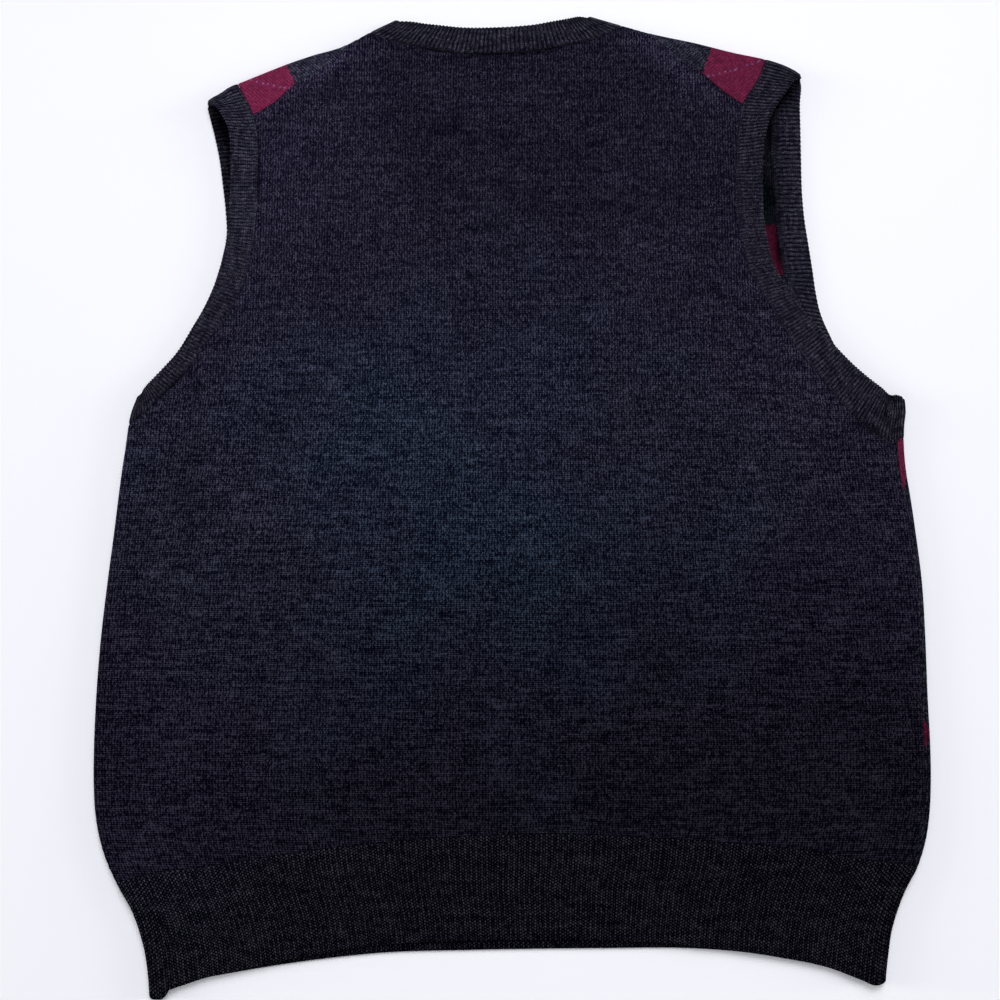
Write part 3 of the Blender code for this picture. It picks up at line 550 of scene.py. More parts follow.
def side_seam(face, side, first, last):
    """The points of a chart up a side seam, between two points that are already there."""
    count = round((last[1] - first[1]) / SIDE_STEP)
    heights = [first[1] + (last[1] - first[1]) * i / count for i in range(1, count)]
    return [np.array((hem_ends(face, height)[side], height)) for height in heights]


def panel_outline(face, right_armhole, top, left_armhole):
    """A panel's closed outline: the hem line, up the right side, along the top and down the left side."""
    hem = hem_line(face)
    right = side_seam(face, 1, hem[-1], right_armhole[0])
    left = side_seam(face, 0, hem[0], left_armhole[-1])
    return np.array(hem + right + right_armhole + top + left_armhole + left[::-1])


def shoulder_seam(points, first, last):
    """A shoulder seam in the back's chart, from its armhole end to its neck end."""
    return spread([first, *[np.array(point, float) * MM for point in points], last], EDGE_STEP)


def pulled_in(outline, by):
    """A closed outline moved inwards by a small distance."""
    outline = np.array(outline)
    edges = np.roll(outline, -1, axis=0) - outline
    edges /= np.linalg.norm(edges, axis=1)[:, None]
    inwards = np.stack([-edges[:, 1], edges[:, 0]], axis=1)
    both = inwards + np.roll(inwards, 1, axis=0)
    square = (both**2).sum(axis=1)
    return outline + both * (2 * by / np.maximum(square, SHARPEST_MITRE))[:, None]


def distance_inside(outline, points):
    """How far inside a closed outline points are, or a negative distance outside it."""
    ends = np.roll(outline, -1, axis=0)
    edges = ends - outline
    rise = np.where(edges[:, 1] == 0, 1.0, edges[:, 1])
    square = (edges**2).sum(axis=1)
    found = []
    for some in np.array_split(points, max(1, len(points) // BATCH)):
        away = some[:, None] - outline
        part = ((away * edges).sum(axis=2) / square).clip(0, 1)
        distance = np.linalg.norm(away - edges * part[..., None], axis=2).min(axis=1)
        crosses = (outline[:, 1] > some[:, 1:]) != (ends[:, 1] > some[:, 1:])
        where = outline[:, 0] + edges[:, 0] * (some[:, 1:] - outline[:, 1]) / rise
        inside = (crosses & (some[:, :1] < where)).sum(axis=1) % 2
        found.append(np.where(inside, distance, -distance))
    return np.concatenate(found)


class Pattern:
    """Every edge of the pieces, worked out once from the tables."""

    def __init__(self, knit):
        back_pitch, front_pitch, neck_pitch = knit.back_band_rib, knit.front_band_rib, knit.neck_rib
        self.left_band = band_loop(
            LEFT_BAND_UNDERARM, LEFT_BAND_UPPER, LEFT_BAND_SHOULDER, [LEFT_BAND_LOWER],
            LEFT, SHOULDER_LEFT, back_pitch, front_pitch,
        )
        self.right_band = band_loop(
            RIGHT_BAND_UNDERARM, RIGHT_BAND_UPPER, RIGHT_BAND_SHOULDER, [RIGHT_BAND_LOWER],
            RIGHT, SHOULDER_RIGHT, back_pitch, front_pitch,
        )
        self.neck = band_loop(
            NECK_LEFT_FOLD, NECK_UPPER, NECK_RIGHT_FOLD,
            [(*NECK_RIGHT_LEG, NECK_POINT), (NECK_POINT, *NECK_LEFT_LEG)],
            SHOULDER_LEFT, SHOULDER_RIGHT, neck_pitch, neck_pitch,
        )
        left_up, left_over, left_down, left_under = self.left_band
        right_up, right_over, right_down, right_under = self.right_band
        neck_up, neck_over, neck_down, neck_under = self.neck
        # Where the bands' runs meet the shoulder seams and the side seams.
        left_top = nearest(left_up, "back", LEFT_SHOULDER_SEAM_END)
        right_top = nearest(right_up, "back", RIGHT_SHOULDER_SEAM_END)
        side_left = len(left_down) - 1 - under_fold(left_down[::-1], LEFT, SIDE_SEAM_INSET - FOLD_RADIUS)
        side_right = under_fold(right_up, RIGHT, SIDE_SEAM_INSET - FOLD_RADIUS)
        neck_left = len(neck_down) - 1 - under_fold(neck_down[::-1], SHOULDER_LEFT, NECK_SEAM_UNDERLAP)
        neck_right = under_fold(neck_down, SHOULDER_RIGHT, NECK_SEAM_UNDERLAP)
        seams = [
            shoulder_seam(points, start.seam, in_chart("back", end))[1:-1]
            for points, start, end in (
                (RIGHT_SHOULDER_SEAM, right_up[right_top], neck_down[neck_right]),
                (LEFT_SHOULDER_SEAM, left_up[left_top], neck_down[neck_left]),
            )
        ]
        right_seam, left_seam = seams[0], seams[1][::-1]
        right_armhole = thinned(right_up[side_right : right_top + 1], "back")
        left_armhole = thinned(left_down[side_left:] + left_under + left_up[: left_top + 1], "back")[::-1]
        neck = neck_down[neck_left:] + neck_under + neck_up + neck_over + neck_down[: neck_right + 1]
        self.back_outline = panel_outline(
            "back", right_armhole, right_seam + thinned(neck, "back")[::-1] + left_seam, left_armhole
        )
        right_armhole = thinned(
            right_up[right_top:] + right_over + right_down + right_under + right_up[: side_right + 1], "front"
        )[::-1]
        left_armhole = thinned(left_up[left_top:] + left_over + left_down[: side_left + 1], "front")
        point = max(range(neck_right, neck_left), key=lambda i: -neck_down[i].seam[1])
        right_leg = thinned(neck_down[neck_right : point + 1], "front")
        left_leg = thinned(neck_down[point : neck_left + 1], "front")
        right_seam = [SHOULDER_RIGHT.mirrored(point) for point in right_seam]
        left_seam = [SHOULDER_LEFT.mirrored(point) for point in left_seam]
        self.front_outline = panel_outline(
            "front", right_armhole, right_seam + right_leg[:-1] + left_leg + left_seam, left_armhole
        )


class VestKnit(bpy.types.PropertyGroup):
    """Sizes of the knitting."""

    wale: bpy.props.FloatProperty(
        name="Wale", description="Width of one column of plain stitches", default=1.93 * MM,
        unit="LENGTH", precision=5,
    )
    course: bpy.props.FloatProperty(
        name="Course", description="Height of one row of plain stitches", default=1.44 * MM,
        unit="LENGTH", precision=5,
    )
    rib_rise: bpy.props.FloatProperty(
        name="Rib rise", description="How far a rib stands above the groove beside it", default=0.62 * MM,
        unit="LENGTH", precision=5,
    )
    hem_rib: bpy.props.FloatProperty(
        name="Hem rib", description="Width of one rib of the hems", default=3.7 * MM,
        unit="LENGTH", precision=5,
    )
    back_band_rib: bpy.props.FloatProperty(
        name="Back band rib", description="Width of one rib of the armhole bands, on the back",
        default=2.75 * MM, unit="LENGTH", precision=5,
    )
    front_band_rib: bpy.props.FloatProperty(
        name="Front band rib", description="Width of one rib of the armhole bands, on the front",
        default=3.36 * MM, unit="LENGTH", precision=5,
    )
    neck_rib: bpy.props.FloatProperty(
        name="Neckband rib", description="Width of one rib of the neckband", default=3.4 * MM,
        unit="LENGTH", precision=5,
    )


class VestColours(bpy.types.PropertyGroup):
    """Colours of the yarns and the floor."""

    charcoal: bpy.props.FloatVectorProperty(
        name="Charcoal", description="Main yarn of the back", subtype="COLOR", size=3,
        default=(0.0098, 0.0087, 0.0144), min=0, max=1,
    )
    cool: bpy.props.FloatVectorProperty(
        name="Cool charcoal", description="The bluer patches of the back", subtype="COLOR", size=3,
        default=(0.0077, 0.0109, 0.0175), min=0, max=1,
    )
    rib: bpy.props.FloatVectorProperty(
        name="Rib yarn", description="Yarn of the hems and bands", subtype="COLOR", size=3,
        default=(0.0149, 0.0143, 0.0198), min=0, max=1,
    )
    hem: bpy.props.FloatVectorProperty(
        name="Hem yarn", description="Yarn of the tight ribs of the hems", subtype="COLOR", size=3,
        default=(0.0132, 0.0125, 0.0168), min=0, max=1,
    )
    front: bpy.props.FloatVectorProperty(
        name="Front ground", description="Ground yarn of the argyle front", subtype="COLOR", size=3,
        default=(0.0130, 0.0135, 0.0200), min=0, max=1,
    )
    slate: bpy.props.FloatVectorProperty(
        name="Slate", description="Dark blue-green diamonds of the argyle front", subtype="COLOR", size=3,
        default=(0.0130, 0.0185, 0.0240), min=0, max=1,
    )
    burgundy: bpy.props.FloatVectorProperty(
        name="Burgundy", description="Red diamonds of the argyle front", subtype="COLOR", size=3,
        default=(0.1150, 0.0125, 0.0370), min=0, max=1,
    )
    lilac: bpy.props.FloatVectorProperty(
        name="Lilac", description="Thin crossing lines of the argyle front", subtype="COLOR", size=3,
        default=(0.1900, 0.0800, 0.2000), min=0, max=1,
    )
    floor: bpy.props.FloatVectorProperty(
        name="Floor", description="The pale surface under the vest", subtype="COLOR", size=3,
        default=(0.900, 0.905, 0.980), min=0, max=1,
    )


class VestLight(bpy.types.PropertyGroup):
    """Studio light."""

    sky: bpy.props.FloatProperty(name="Sky", description="Strength of the even light", default=0.36, min=0)
    window: bpy.props.FloatProperty(
        name="Window", description="Strength of the broad light from beyond the neck", default=1.75, min=0
    )
    fill: bpy.props.FloatProperty(
        name="Fill", description="Power of the soft light overhead", default=4.1, min=0, unit="POWER"
    )
    rake: bpy.props.FloatProperty(
        name="Rake", description="Strength of the low light from each side", default=1.6, min=0
    )


# The argyle front. Diamonds stand in columns, each half a diamond's height off its neighbours.
DIAMOND_HALF_WIDTH = 48.05 * MM
DIAMOND_HALF_HEIGHT = 95 * MM
DIAMOND_LEVEL = 112 * MM  # height of the middle of a diamond in the even columns
LINE_HALF_WIDTH = 0.0062  # of the thin crossing lines, in diamonds
LINE_GAPS = 0.2  # the part of their stitches that is left out
LINE_FAINT = 0.08  # how much lilac they have outside the burgundy diamonds
LINE_ON_RED = 0.42  # and how much more in them
LINE_LAYER = 3.0
UNDERARM_LEVEL = 58 * MM
# From this height, and over this much more, the columns are drawn together by a part towards the underarms.
DRAW_START = -170 * MM
DRAW_RISE = 190 * MM
UNDERARM_DRAW = 0.048
# Where the shoulders pull the front's columns askew: middle x, y in the chart, the same place in the
# pattern, and the turn in degrees.
SHOULDER_PULLS = ((191.0, 316.0, 192.2, 302.0, 19.0), (-203.0, 289.0, -192.2, 302.0, -4.0))
SHOULDER_PULL_LEVEL = 225 * MM
SHOULDER_PULL_REACH = 60 * MM
# On the wrong side the yarns cross over behind the right armhole's diamond, so the next column shows there:
# below and above these heights, outside this distance from the middle, and over how much of each.
CROSSOVERS = (151 * MM, 190 * MM)
CROSSOVER_RISE = 3 * MM
CROSSOVER_FROM = 140 * MM
CROSSOVER_REACH = 12 * MM
CROSSOVER_SHIFT = 87 * MM


def drawn_in(points):
    """How much wider the columns stand at these heights than at the underarm."""
    low = np.minimum(points[:, 1], SIDES[-1][0] * MM)
    underarm = float(right_side(UNDERARM_LEVEL) - left_side(UNDERARM_LEVEL))
    return (right_side(low) - left_side(low)) / underarm


def back_pattern(points, inside=False):
    """Where points of the back's chart are in the evenly knitted panel, in metres."""
    return np.column_stack([points[:, 0] / drawn_in(points), points[:, 1]])


def front_pattern(points, inside=False):
    """Where points of the front's chart are in the evenly knitted panel, in metres."""
    drawn = 1 + UNDERARM_DRAW * ease((points[:, 1] - DRAW_START) / DRAW_RISE)
    even = np.column_stack([points[:, 0] * drawn, points[:, 1]])
    for x, y, to_x, to_y, turn in SHOULDER_PULLS:
        side = points[:, 0] * x > 0
        pull = np.where(side, ease((points[:, 1] - SHOULDER_PULL_LEVEL) / SHOULDER_PULL_REACH), 0.0)
        pulled = np.column_stack(turned(points - np.array((x, y)) * MM, turn)) + np.array((to_x, to_y)) * MM
        even += pull[:, None] * (pulled - even)
    if inside:
        low, high = CROSSOVERS
        beyond = ease((points[:, 1] - high) / CROSSOVER_RISE) + ease((low - points[:, 1]) / CROSSOVER_RISE)
        even[:, 0] += CROSSOVER_SHIFT * ease((points[:, 0] - CROSSOVER_FROM) / CROSSOVER_REACH) * beyond
    return even


RIB_FULLNESS = 0.8  # ribs are the broader on top the less this is


def rib_profile(ribs):
    """Height of a rib across it, from 0 in the groove to 1, with a rounded top."""
    wave = 0.5 + 0.5 * np.cos(2 * math.pi * np.asarray(ribs, float))
    return wave**RIB_FULLNESS


# The cloth is also painted darker towards the hem, as uneven light would leave it: by this part, from this
# height, over this length. It isn't known to be the wool's own colour.
FALL = 0.62
FALL_TOP = 90 * MM
FALL_LENGTH = 330 * MM


def shades(points, ups):
    """The painted shade and light at these points, from their place and how far they face up: 1 where there
    is none.
    """
    painted_shade_and_tone = 1 - FALL * ease((FALL_TOP - points[:, 1]) / FALL_LENGTH)
    upper = points[:, 2] > FOLD_RADIUS
    for table, layer in ((TOP_SHADES, upper), (LOW_SHADES, ~upper)):
        for loss in ovals(points[:, :2], table):
            painted_shade_and_tone *= 1 - loss * layer * np.clip(ups * 2, 0, 1)
    return painted_shade_and_tone


def add_piece(name, points, faces, knit, material):
    """A mesh piece that rides on the vest. knit gives each point's stitch column, row, and rib height."""
    mesh = bpy.data.meshes.new(name)
    mesh.from_pydata(points, [], faces)
    mesh.validate()
    mesh.attributes.new("knit", "FLOAT_VECTOR", "POINT").data.foreach_set(
        "vector", np.asarray(knit, np.float32).ravel()
    )
    bm = bmesh.new()
    bm.from_mesh(mesh)
    bmesh.ops.recalc_face_normals(bm, faces=bm.faces)
    bm.to_mesh(mesh)
    bm.free()
    mesh.shade_smooth()
    # The painted shade and light at each point, painted only where the cloth faces up, for the materials to
    # multiply into the colour.
    normals = np.empty(len(points) * 3)
    mesh.vertices.foreach_get("normal", normals)
    painted_shade_and_tone = shades(np.asarray(points), normals[2::3])
    mesh.attributes.new("painted_shade_and_tone", "FLOAT", "POINT").data.foreach_set("value", painted_shade_and_tone.astype(np.float32))
    mesh.materials.append(material)
    piece = bpy.data.objects.new(name, mesh)
    bpy.context.scene.collection.objects.link(piece)
    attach(piece, "root")
    return piece


def flat_area(points, faces):
    """Half the surface of a closed sheet."""
    points = np.asarray(points)
    total = 0.0
    for face in faces:
        corner = points[list(face)]
        for i in range(1, len(face) - 1):
            total += np.linalg.norm(np.cross(corner[i] - corner[0], corner[i + 1] - corner[0])) / 2
    return total / 2


def cut_panel(outline, fine):
    """A panel cut to its outline: its chart points, their triangles, and how far each is from the edge.
    fine() says where the points lie close together."""
    outline = pulled_in(outline, PANEL_INSET)
    points = [outline]
    count = len(outline)
    borders = [(i, (i + 1) % count) for i in range(count)]
    for by in EDGE_RINGS:
        ring = pulled_in(outline, by)
        points.append(ring[distance_inside(outline, ring) > by * RING_CLEARANCE])
    for fold in FOLDS:
        for step in range(FOLD_STEPS + 1):
            along = np.arange(fold.first, fold.last, SIDE_STEP)
            base = along[:, None] * fold.along + (fold.line(along) - FOLD_RADIUS)[:, None] * fold.out
            line = base + fold.out * HALF_TURN * step / FOLD_STEPS
            points.append(line[distance_inside(outline, line) > EDGE_ROLL * FOLD_LINE_MARGIN])
    low, high = outline.min(axis=0), outline.max(axis=0)
    xs, ys = (np.arange(low[i], high[i], LATTICE_STEP) for i in (0, 1))
    lattice = np.stack(np.meshgrid(xs, ys), axis=-1)
    lattice[1::2, :, 0] += LATTICE_STEP / 2
    coarse = np.zeros(lattice.shape[:2], bool)
    coarse[::2, ::2] = True
    lattice, coarse = lattice.reshape(-1, 2), coarse.ravel()
    lattice = lattice[coarse | fine(lattice)]
    clear = distance_inside(outline, lattice) > LATTICE_MARGIN
    for fold in FOLDS:
        turning = np.abs(fold.past(lattice) - HALF_TURN / 2) < HALF_TURN / 2 + FOLD_CLEARANCE
        clear &= ~(fold.holds(lattice) & turning)
    points = [Vector(point) for point in np.concatenate([*points, lattice[clear]])]
    flat, _, faces, *_ = delaunay_2d_cdt(points, borders, [list(range(count))], 1, SAME_POINT)
    flat = np.array([tuple(point) for point in flat])
    return flat, [tuple(corners) for corners in faces], np.abs(distance_inside(outline, flat))


def seam_depth(points):
    """How deep the seam near these points is pressed, as a part of the deepest."""
    return SHALLOW_SEAM + (1 - SHALLOW_SEAM) * np.minimum(sum(ovals(points, DEEP_SEAMS)), 1.0)


def edge_dip(points, distance):
    """How deep the cloth's face rolls down at this distance from a cut edge."""
    part = 1 - np.clip(distance / EDGE_ROLL, 0, 1)
    return EDGE_DIP * seam_depth(points) * part * part


def add_panel(name, face, outline, fine, pattern, knit, material):
    """A knitted panel with two faces and a rim, laid out and rolled round the folds."""
    flat, faces, distance = cut_panel(outline, fine)
    dip = edge_dip(flat, distance)
    count = len(flat)
    points = np.concatenate([lay(face, flat, dip), lay(face, flat, WALL - dip * INNER_DIP)])
    sides = dict.fromkeys(side for corners in faces for side in zip(corners, corners[1:] + corners[:1]))
    rim = [(b, a, a + count, b + count) for a, b in sides if (b, a) not in sides]
    every = faces + [tuple(i + count for i in reversed(corners)) for corners in faces] + rim
    stitches = [
        np.column_stack([even[:, 0] / knit.wale, even[:, 1] / knit.course, np.ones(count)])
        for even in (pattern(flat), pattern(flat, True))
    ]
    piece = add_piece(name, points, every, np.concatenate(stitches), material)
    float(flat_area(points, every))
    return piece


# The section of a band: how far it is from the seam, or for its free edge from that edge, and how deep below
# its outer face, both as parts of the wall. In between are parts of the band's width.
BAND_EDGE = ((0.03, 0.42), (0.3, 0.16), (0.8, 0.0), (1.7, 0.0))
BAND_MIDDLE = (0.18, 0.34, 0.5, 0.66, 0.82)
FREE_EDGE = ((0.62, 0.0), (0.28, 0.12), (0.06, 0.34), (0.0, 0.5))

RIB_MEAN = 0.6  # a rib's height, averaged across it
BAND_RISE = 0.85  # height of the bands' ribs, in ribs of the hems
TOOTH = 0.45 * MM  # how far the ribs' ends stand out at a band's free edge
TOOTH_FROM = 0.9  # the part of the band's width at which they start to
BAND_PLAIN = 1.4 * MM  # how far beside the seam a band has no ribs
WRONG_SIDE_PLAIN = 4.5 * MM  # the same on the front's wrong side
COUNTED_RIBS = 3  # stitches are counted from this many ribs before the band turns up onto the back

# The ribs' painted shade is weakened by a part about this height of the armholes' back.
RIB_SHADE_FADE_LEVEL = 160 * MM
RIB_SHADE_FADE_REACH = 70 * MM
RIB_SHADE_FADE_PART = 0.5


def rib_clearness(face, points):
    """How plainly the ribs' painted shade shows at these points."""
    flat = np.exp(-(((points[:, 1] - RIB_SHADE_FADE_LEVEL) / RIB_SHADE_FADE_REACH) ** 2))
    return 1 - RIB_SHADE_FADE_PART * flat * (face == "back")


# How far a band's free edge is drawn in where it turns over each fold, and how far from the edge of the fold
# that starts, on the upper and on the lower layer.
TUCKS = {
    LEFT: (3.2, 6.0, 6.0), RIGHT: (5.0, 9.0, 9.0),
    SHOULDER_LEFT: (1.8, 9.0, 2.5), SHOULDER_RIGHT: (1.5, 8.0, 2.5),
}
STRAIGHTEN_REACH = 12 * MM  # how far from a bent fold a band follows it


def tucked(stations):
    """How far the free edge is drawn in at each of these stations, so that the corners are round."""
    tuck = []
    for station in stations:
        depth, above, below = TUCKS[station.fold]
        away = station.fold.past(station.free) - HALF_TURN / 2
        reach = below if (away > 0) == (station.face == "back") else above
        tuck.append(depth * MM * max(0.0, 1 - abs(away) / (reach * MM)) ** 2)
    return np.array(tuck)


def along_fold(stations, points, part):
    """Points across a band, moved to follow a bent fold that the band turns over."""
    moved = points.copy()
    for i, station in enumerate(stations):
        fold = station.fold
        start, end = fold.past(station.seam), fold.past(station.free)
        from_turn = max(-min(start, end), max(start, end) - HALF_TURN, 0.0)
        share = float(ease(1 - from_turn / STRAIGHTEN_REACH))
        if share > 0:
            past = start + (end - start) * min(max(part[i], 0.0), 1.0)
            moved[i] += fold.out * (past - fold.past(points[i])) * share
    return moved


def band_section(width):
    """Distance from the seam and depth of each corner of a band's section, from the seam and back to it."""
    outer = [(part * WALL, depth * WALL) for part, depth in BAND_EDGE]
    outer += [(part * width, 0.0) for part in BAND_MIDDLE]
    outer += [(width - part * WALL, depth * WALL) for part, depth in FREE_EDGE]
    inner = [(across, WALL - depth) for across, depth in reversed(outer[:-1])]
    return np.array(outer + inner)


def skin(count, across, closed):
    """The faces of a loft of so many sections with so many corners each."""
    faces = []
    for i in range(count if closed else count - 1):
        j = (i + 1) % count
        for k in range(across):
            m = (k + 1) % across
            faces.append((i * across + k, i * across + m, j * across + m, j * across + k))
    return faces


def add_band(name, loop, knit, material):
    """A ribbed band as a loft round its loop. Its ribs are raised on whichever side of the cloth faces up,
    and end in small rounded teeth at the free edge."""
    rise = knit.rib_rise * BAND_RISE
    rows, stitches, widths = [], [], []
    length = 0.0
    for stations in loop:
        face = stations[0].face
        seams = np.array([station.seam for station in stations])
        frees = np.array([station.free for station in stations])
        ribs = np.array([station.ribs for station in stations])
        width = np.linalg.norm(frees - seams, axis=1)
        widths.append(width.mean())
        length += np.linalg.norm(np.diff((seams + frees) / 2, axis=0), axis=1).sum()
        section = band_section(widths[-1])
        profile, between = rib_profile(ribs), rib_profile(ribs + 0.5)
        drawn = 1 - tucked(stations) / width
        block, counts = np.empty((2, len(stations), len(section), 3))
        for k, (across, depth) in enumerate(section):
            part = across / widths[-1]
            tooth = TOOTH * (profile - RIB_MEAN) * ease((part - TOOTH_FROM) / (1 - TOOTH_FROM))
            reach = part * drawn + tooth / width
            points = along_fold(stations, seams + (frees - seams) * reach[:, None], reach)
            outer = depth < WALL / 2 + SAME_PLACE
            side = 1 if outer else -1
            ribbed = profile if outer else between
            plain = WRONG_SIDE_PLAIN if face == "front" and not outer else BAND_PLAIN
            ends = ease((across - plain / 3) / plain)
            raised = rise * ends * ribbed * np.maximum(side * facing_up(face, points), 0.0)
            edge = min(k, len(section) - 1 - k)
            dip = BAND_EDGE[edge][1] * WALL if edge < len(BAND_EDGE) else 0.0
            rolled = side * (seam_depth(seams) - 1) * dip
            block[:, k] = lay(face, points, depth + rolled - side * raised)
            clear = ends * rib_clearness(face, points)
            counts[:, k, 0] = ribs * 2
            counts[:, k, 1] = across / knit.course
            counts[:, k, 2] = clear * ribbed + (1 - clear) * RIB_MEAN
        rows.append(block)
        stitches.append(counts)
    start = sum(len(block) for block in rows[:3]) - COUNTED_RIBS * RIB_STEPS
    rows, stitches = np.concatenate(rows), np.concatenate(stitches)
    stitches[:start, :, 0] += 2 * round(loop[-1][-1].ribs)
    rows, stitches = np.roll(rows, -start, axis=0), np.roll(stitches, -start, axis=0)
    steps = np.linalg.norm(np.diff(rows, axis=0), axis=2)
    middle = len(BAND_EDGE) + len(BAND_MIDDLE) - 1
    keep = np.append(True, steps[:, 0] + steps[:, middle] > SAME_PLACE)
    rows, stitches = rows[keep], stitches[keep]
    faces = skin(len(rows), rows.shape[1], True)
    piece = add_piece(name, rows.reshape(-1, 3), faces, stitches.reshape(-1, 3), material)
    width = float(np.mean(widths))
    float(min(flat_area(rows.reshape(-1, 3), faces), length * width))
    return piece


def hem_points(face, parts, row):
    """Points of the hem's chart, by their parts of the width and of the height."""
    height = np.full(len(parts), (HEM_BOTTOM[0][1] * (1 - row) + HEM_TOP[0][1] * row) * MM)
    for _ in range(HEM_TRIES):
        start, end = hem_ends(face, height)
        x = start + SEAM_GAP / 2 + (end - start - SEAM_GAP) * parts
        under = lay(face, np.column_stack([x, height]), 0.0)[:, 0]
        bottom = hem_bottom(under) + (hem_peek(under) if face == "back" else 0)
        height = bottom + (hem_top(under) - HEM_INSET - bottom) * row
    return np.column_stack([x, height])


# The rows at a hem's lower edge and at its top: how far they are from that edge, and how deep the hem's face
# lies, both as parts of the wall. The lower edge is rounded, and the top rolls down into the seam.
HEM_LOW_EDGE = ((0.0, 0.5), (0.06, 0.3), (0.3, 0.1), (0.65, 0.0))
HEM_TOP_EDGE = ((1.0, 0.0), (0.4, 0.2), (0.0, 0.45))
# A hem's relief: fine ribs of half the width on broad ones.
FINE_RIBS = 0.7
BROAD_RIBS = 0.3
HEM_BEAD = 2.15 * MM  # height of one bead of the hem's stitches
# The relief fades towards both edges of the hem: within what distance, and how much of it is left there.
LOW_FADE, LOW_LEFT = 1.2 * MM, 0.25
TOP_FADE, TOP_LEFT = 4 * MM, 0.35


def hem_rows(height):
    """Rows of a hem from its lower edge to its top, as parts of its height, and how deep they lie."""
    wall = WALL / height
    low = [(far * wall, depth) for far, depth in HEM_LOW_EDGE]
    top = [(1 - far * wall, depth) for far, depth in HEM_TOP_EDGE]
    return low + [(part, 0.0) for part in np.linspace(0, 1, HEM_ROWS)[1:-1]] + top


def add_hem(name, face, knit, material):
    """A ribbed hem, rolled round the side folds, ribbed on whichever side faces up."""
    start, end = hem_ends(face, HEM_TOP[len(HEM_TOP) // 2][1] * MM)
    ribs = round(float(end - start) / knit.hem_rib)
    parts = np.linspace(0, 1, ribs * RIB_STEPS + 1)
    number = parts * ribs
    height = float(hem_top(0.0) - hem_bottom(0.0))
    blocks, stitches = [], []
    table = hem_rows(height)
    for side, rows in ((1, table), (-1, table[:0:-1])):
        broad = rib_profile(number if side > 0 else number + 0.5)
        ribbed = FINE_RIBS * rib_profile(2 * number) + BROAD_RIBS * broad
        for row, dip in rows:
            chart = hem_points(face, parts, row)
            low = ease(row * height / LOW_FADE) * (1 - LOW_LEFT) + LOW_LEFT
            fade = low * (TOP_LEFT + (1 - TOP_LEFT) * ease((1 - row) * height / TOP_FADE))
            raised = knit.rib_rise * ribbed * fade * np.maximum(side * facing_up(face, chart), 0.0)
            if row > 0.5:
                dip = dip * seam_depth(chart)
            blocks.append(lay(face, chart, dip * WALL - raised if side > 0 else WALL * (1 - dip) + raised))
            bead = row * height / HEM_BEAD + 0.5 * (np.floor(number * 2 + 0.5) % 2)
            stitches.append(np.column_stack([number * 2 + 0.5, bead, ribbed]))
    across = len(blocks)
    points = np.stack(blocks, axis=1).reshape(-1, 3)
    last = (len(parts) - 1) * across
    faces = skin(len(parts), across, False) + [tuple(range(across)), tuple(range(last, last + across))]
    piece = add_piece(name, points, faces, np.stack(stitches, axis=1).reshape(-1, 3), material)
    float(end - start)
    return piece


SMOOTH, GRAINY = 0.5, 0.6  # roughness of the noises


class Link:
    """A value in a material. Maths on it adds Math nodes."""

    def __init__(self, maker, socket):
        self.maker = maker
        self.socket = socket

    def math(self, operation, *others, clamp=False):
        """This value and the others through a Math node."""
        settings = {"operation": operation, "use_clamp": clamp}
        return self.maker.node("ShaderNodeMath", settings, dict(enumerate((self, *others))))

    def __add__(self, other):
        return self.math("ADD", other)

    __radd__ = __add__

    def __sub__(self, other):
        return self.math("SUBTRACT", other)

    def __rsub__(self, other):
        return (self * -1) + other

    def __mul__(self, other):
        return self.math("MULTIPLY", other)

    __rmul__ = __mul__

    def __truediv__(self, other):
        return self.math("DIVIDE", other)

    def __mod__(self, other):
        return self.math("FLOORED_MODULO", other)

    def __abs__(self):
        return self.math("ABSOLUTE")

    def __lt__(self, other):
        return self.math("LESS_THAN", other)

    def __gt__(self, other):
        return self.math("GREATER_THAN", other)

    def floor(self):
        return self.math("FLOOR")

    def round(self):
        return self.math("ROUND")

    def fraction(self):
        return self.math("FRACT")

    def sine(self):
        return self.math("SINE")

    def smaller(self, other):
        return self.math("MINIMUM", other)

    def clamped(self):
        return self.math("ADD", 0.0, clamp=True)


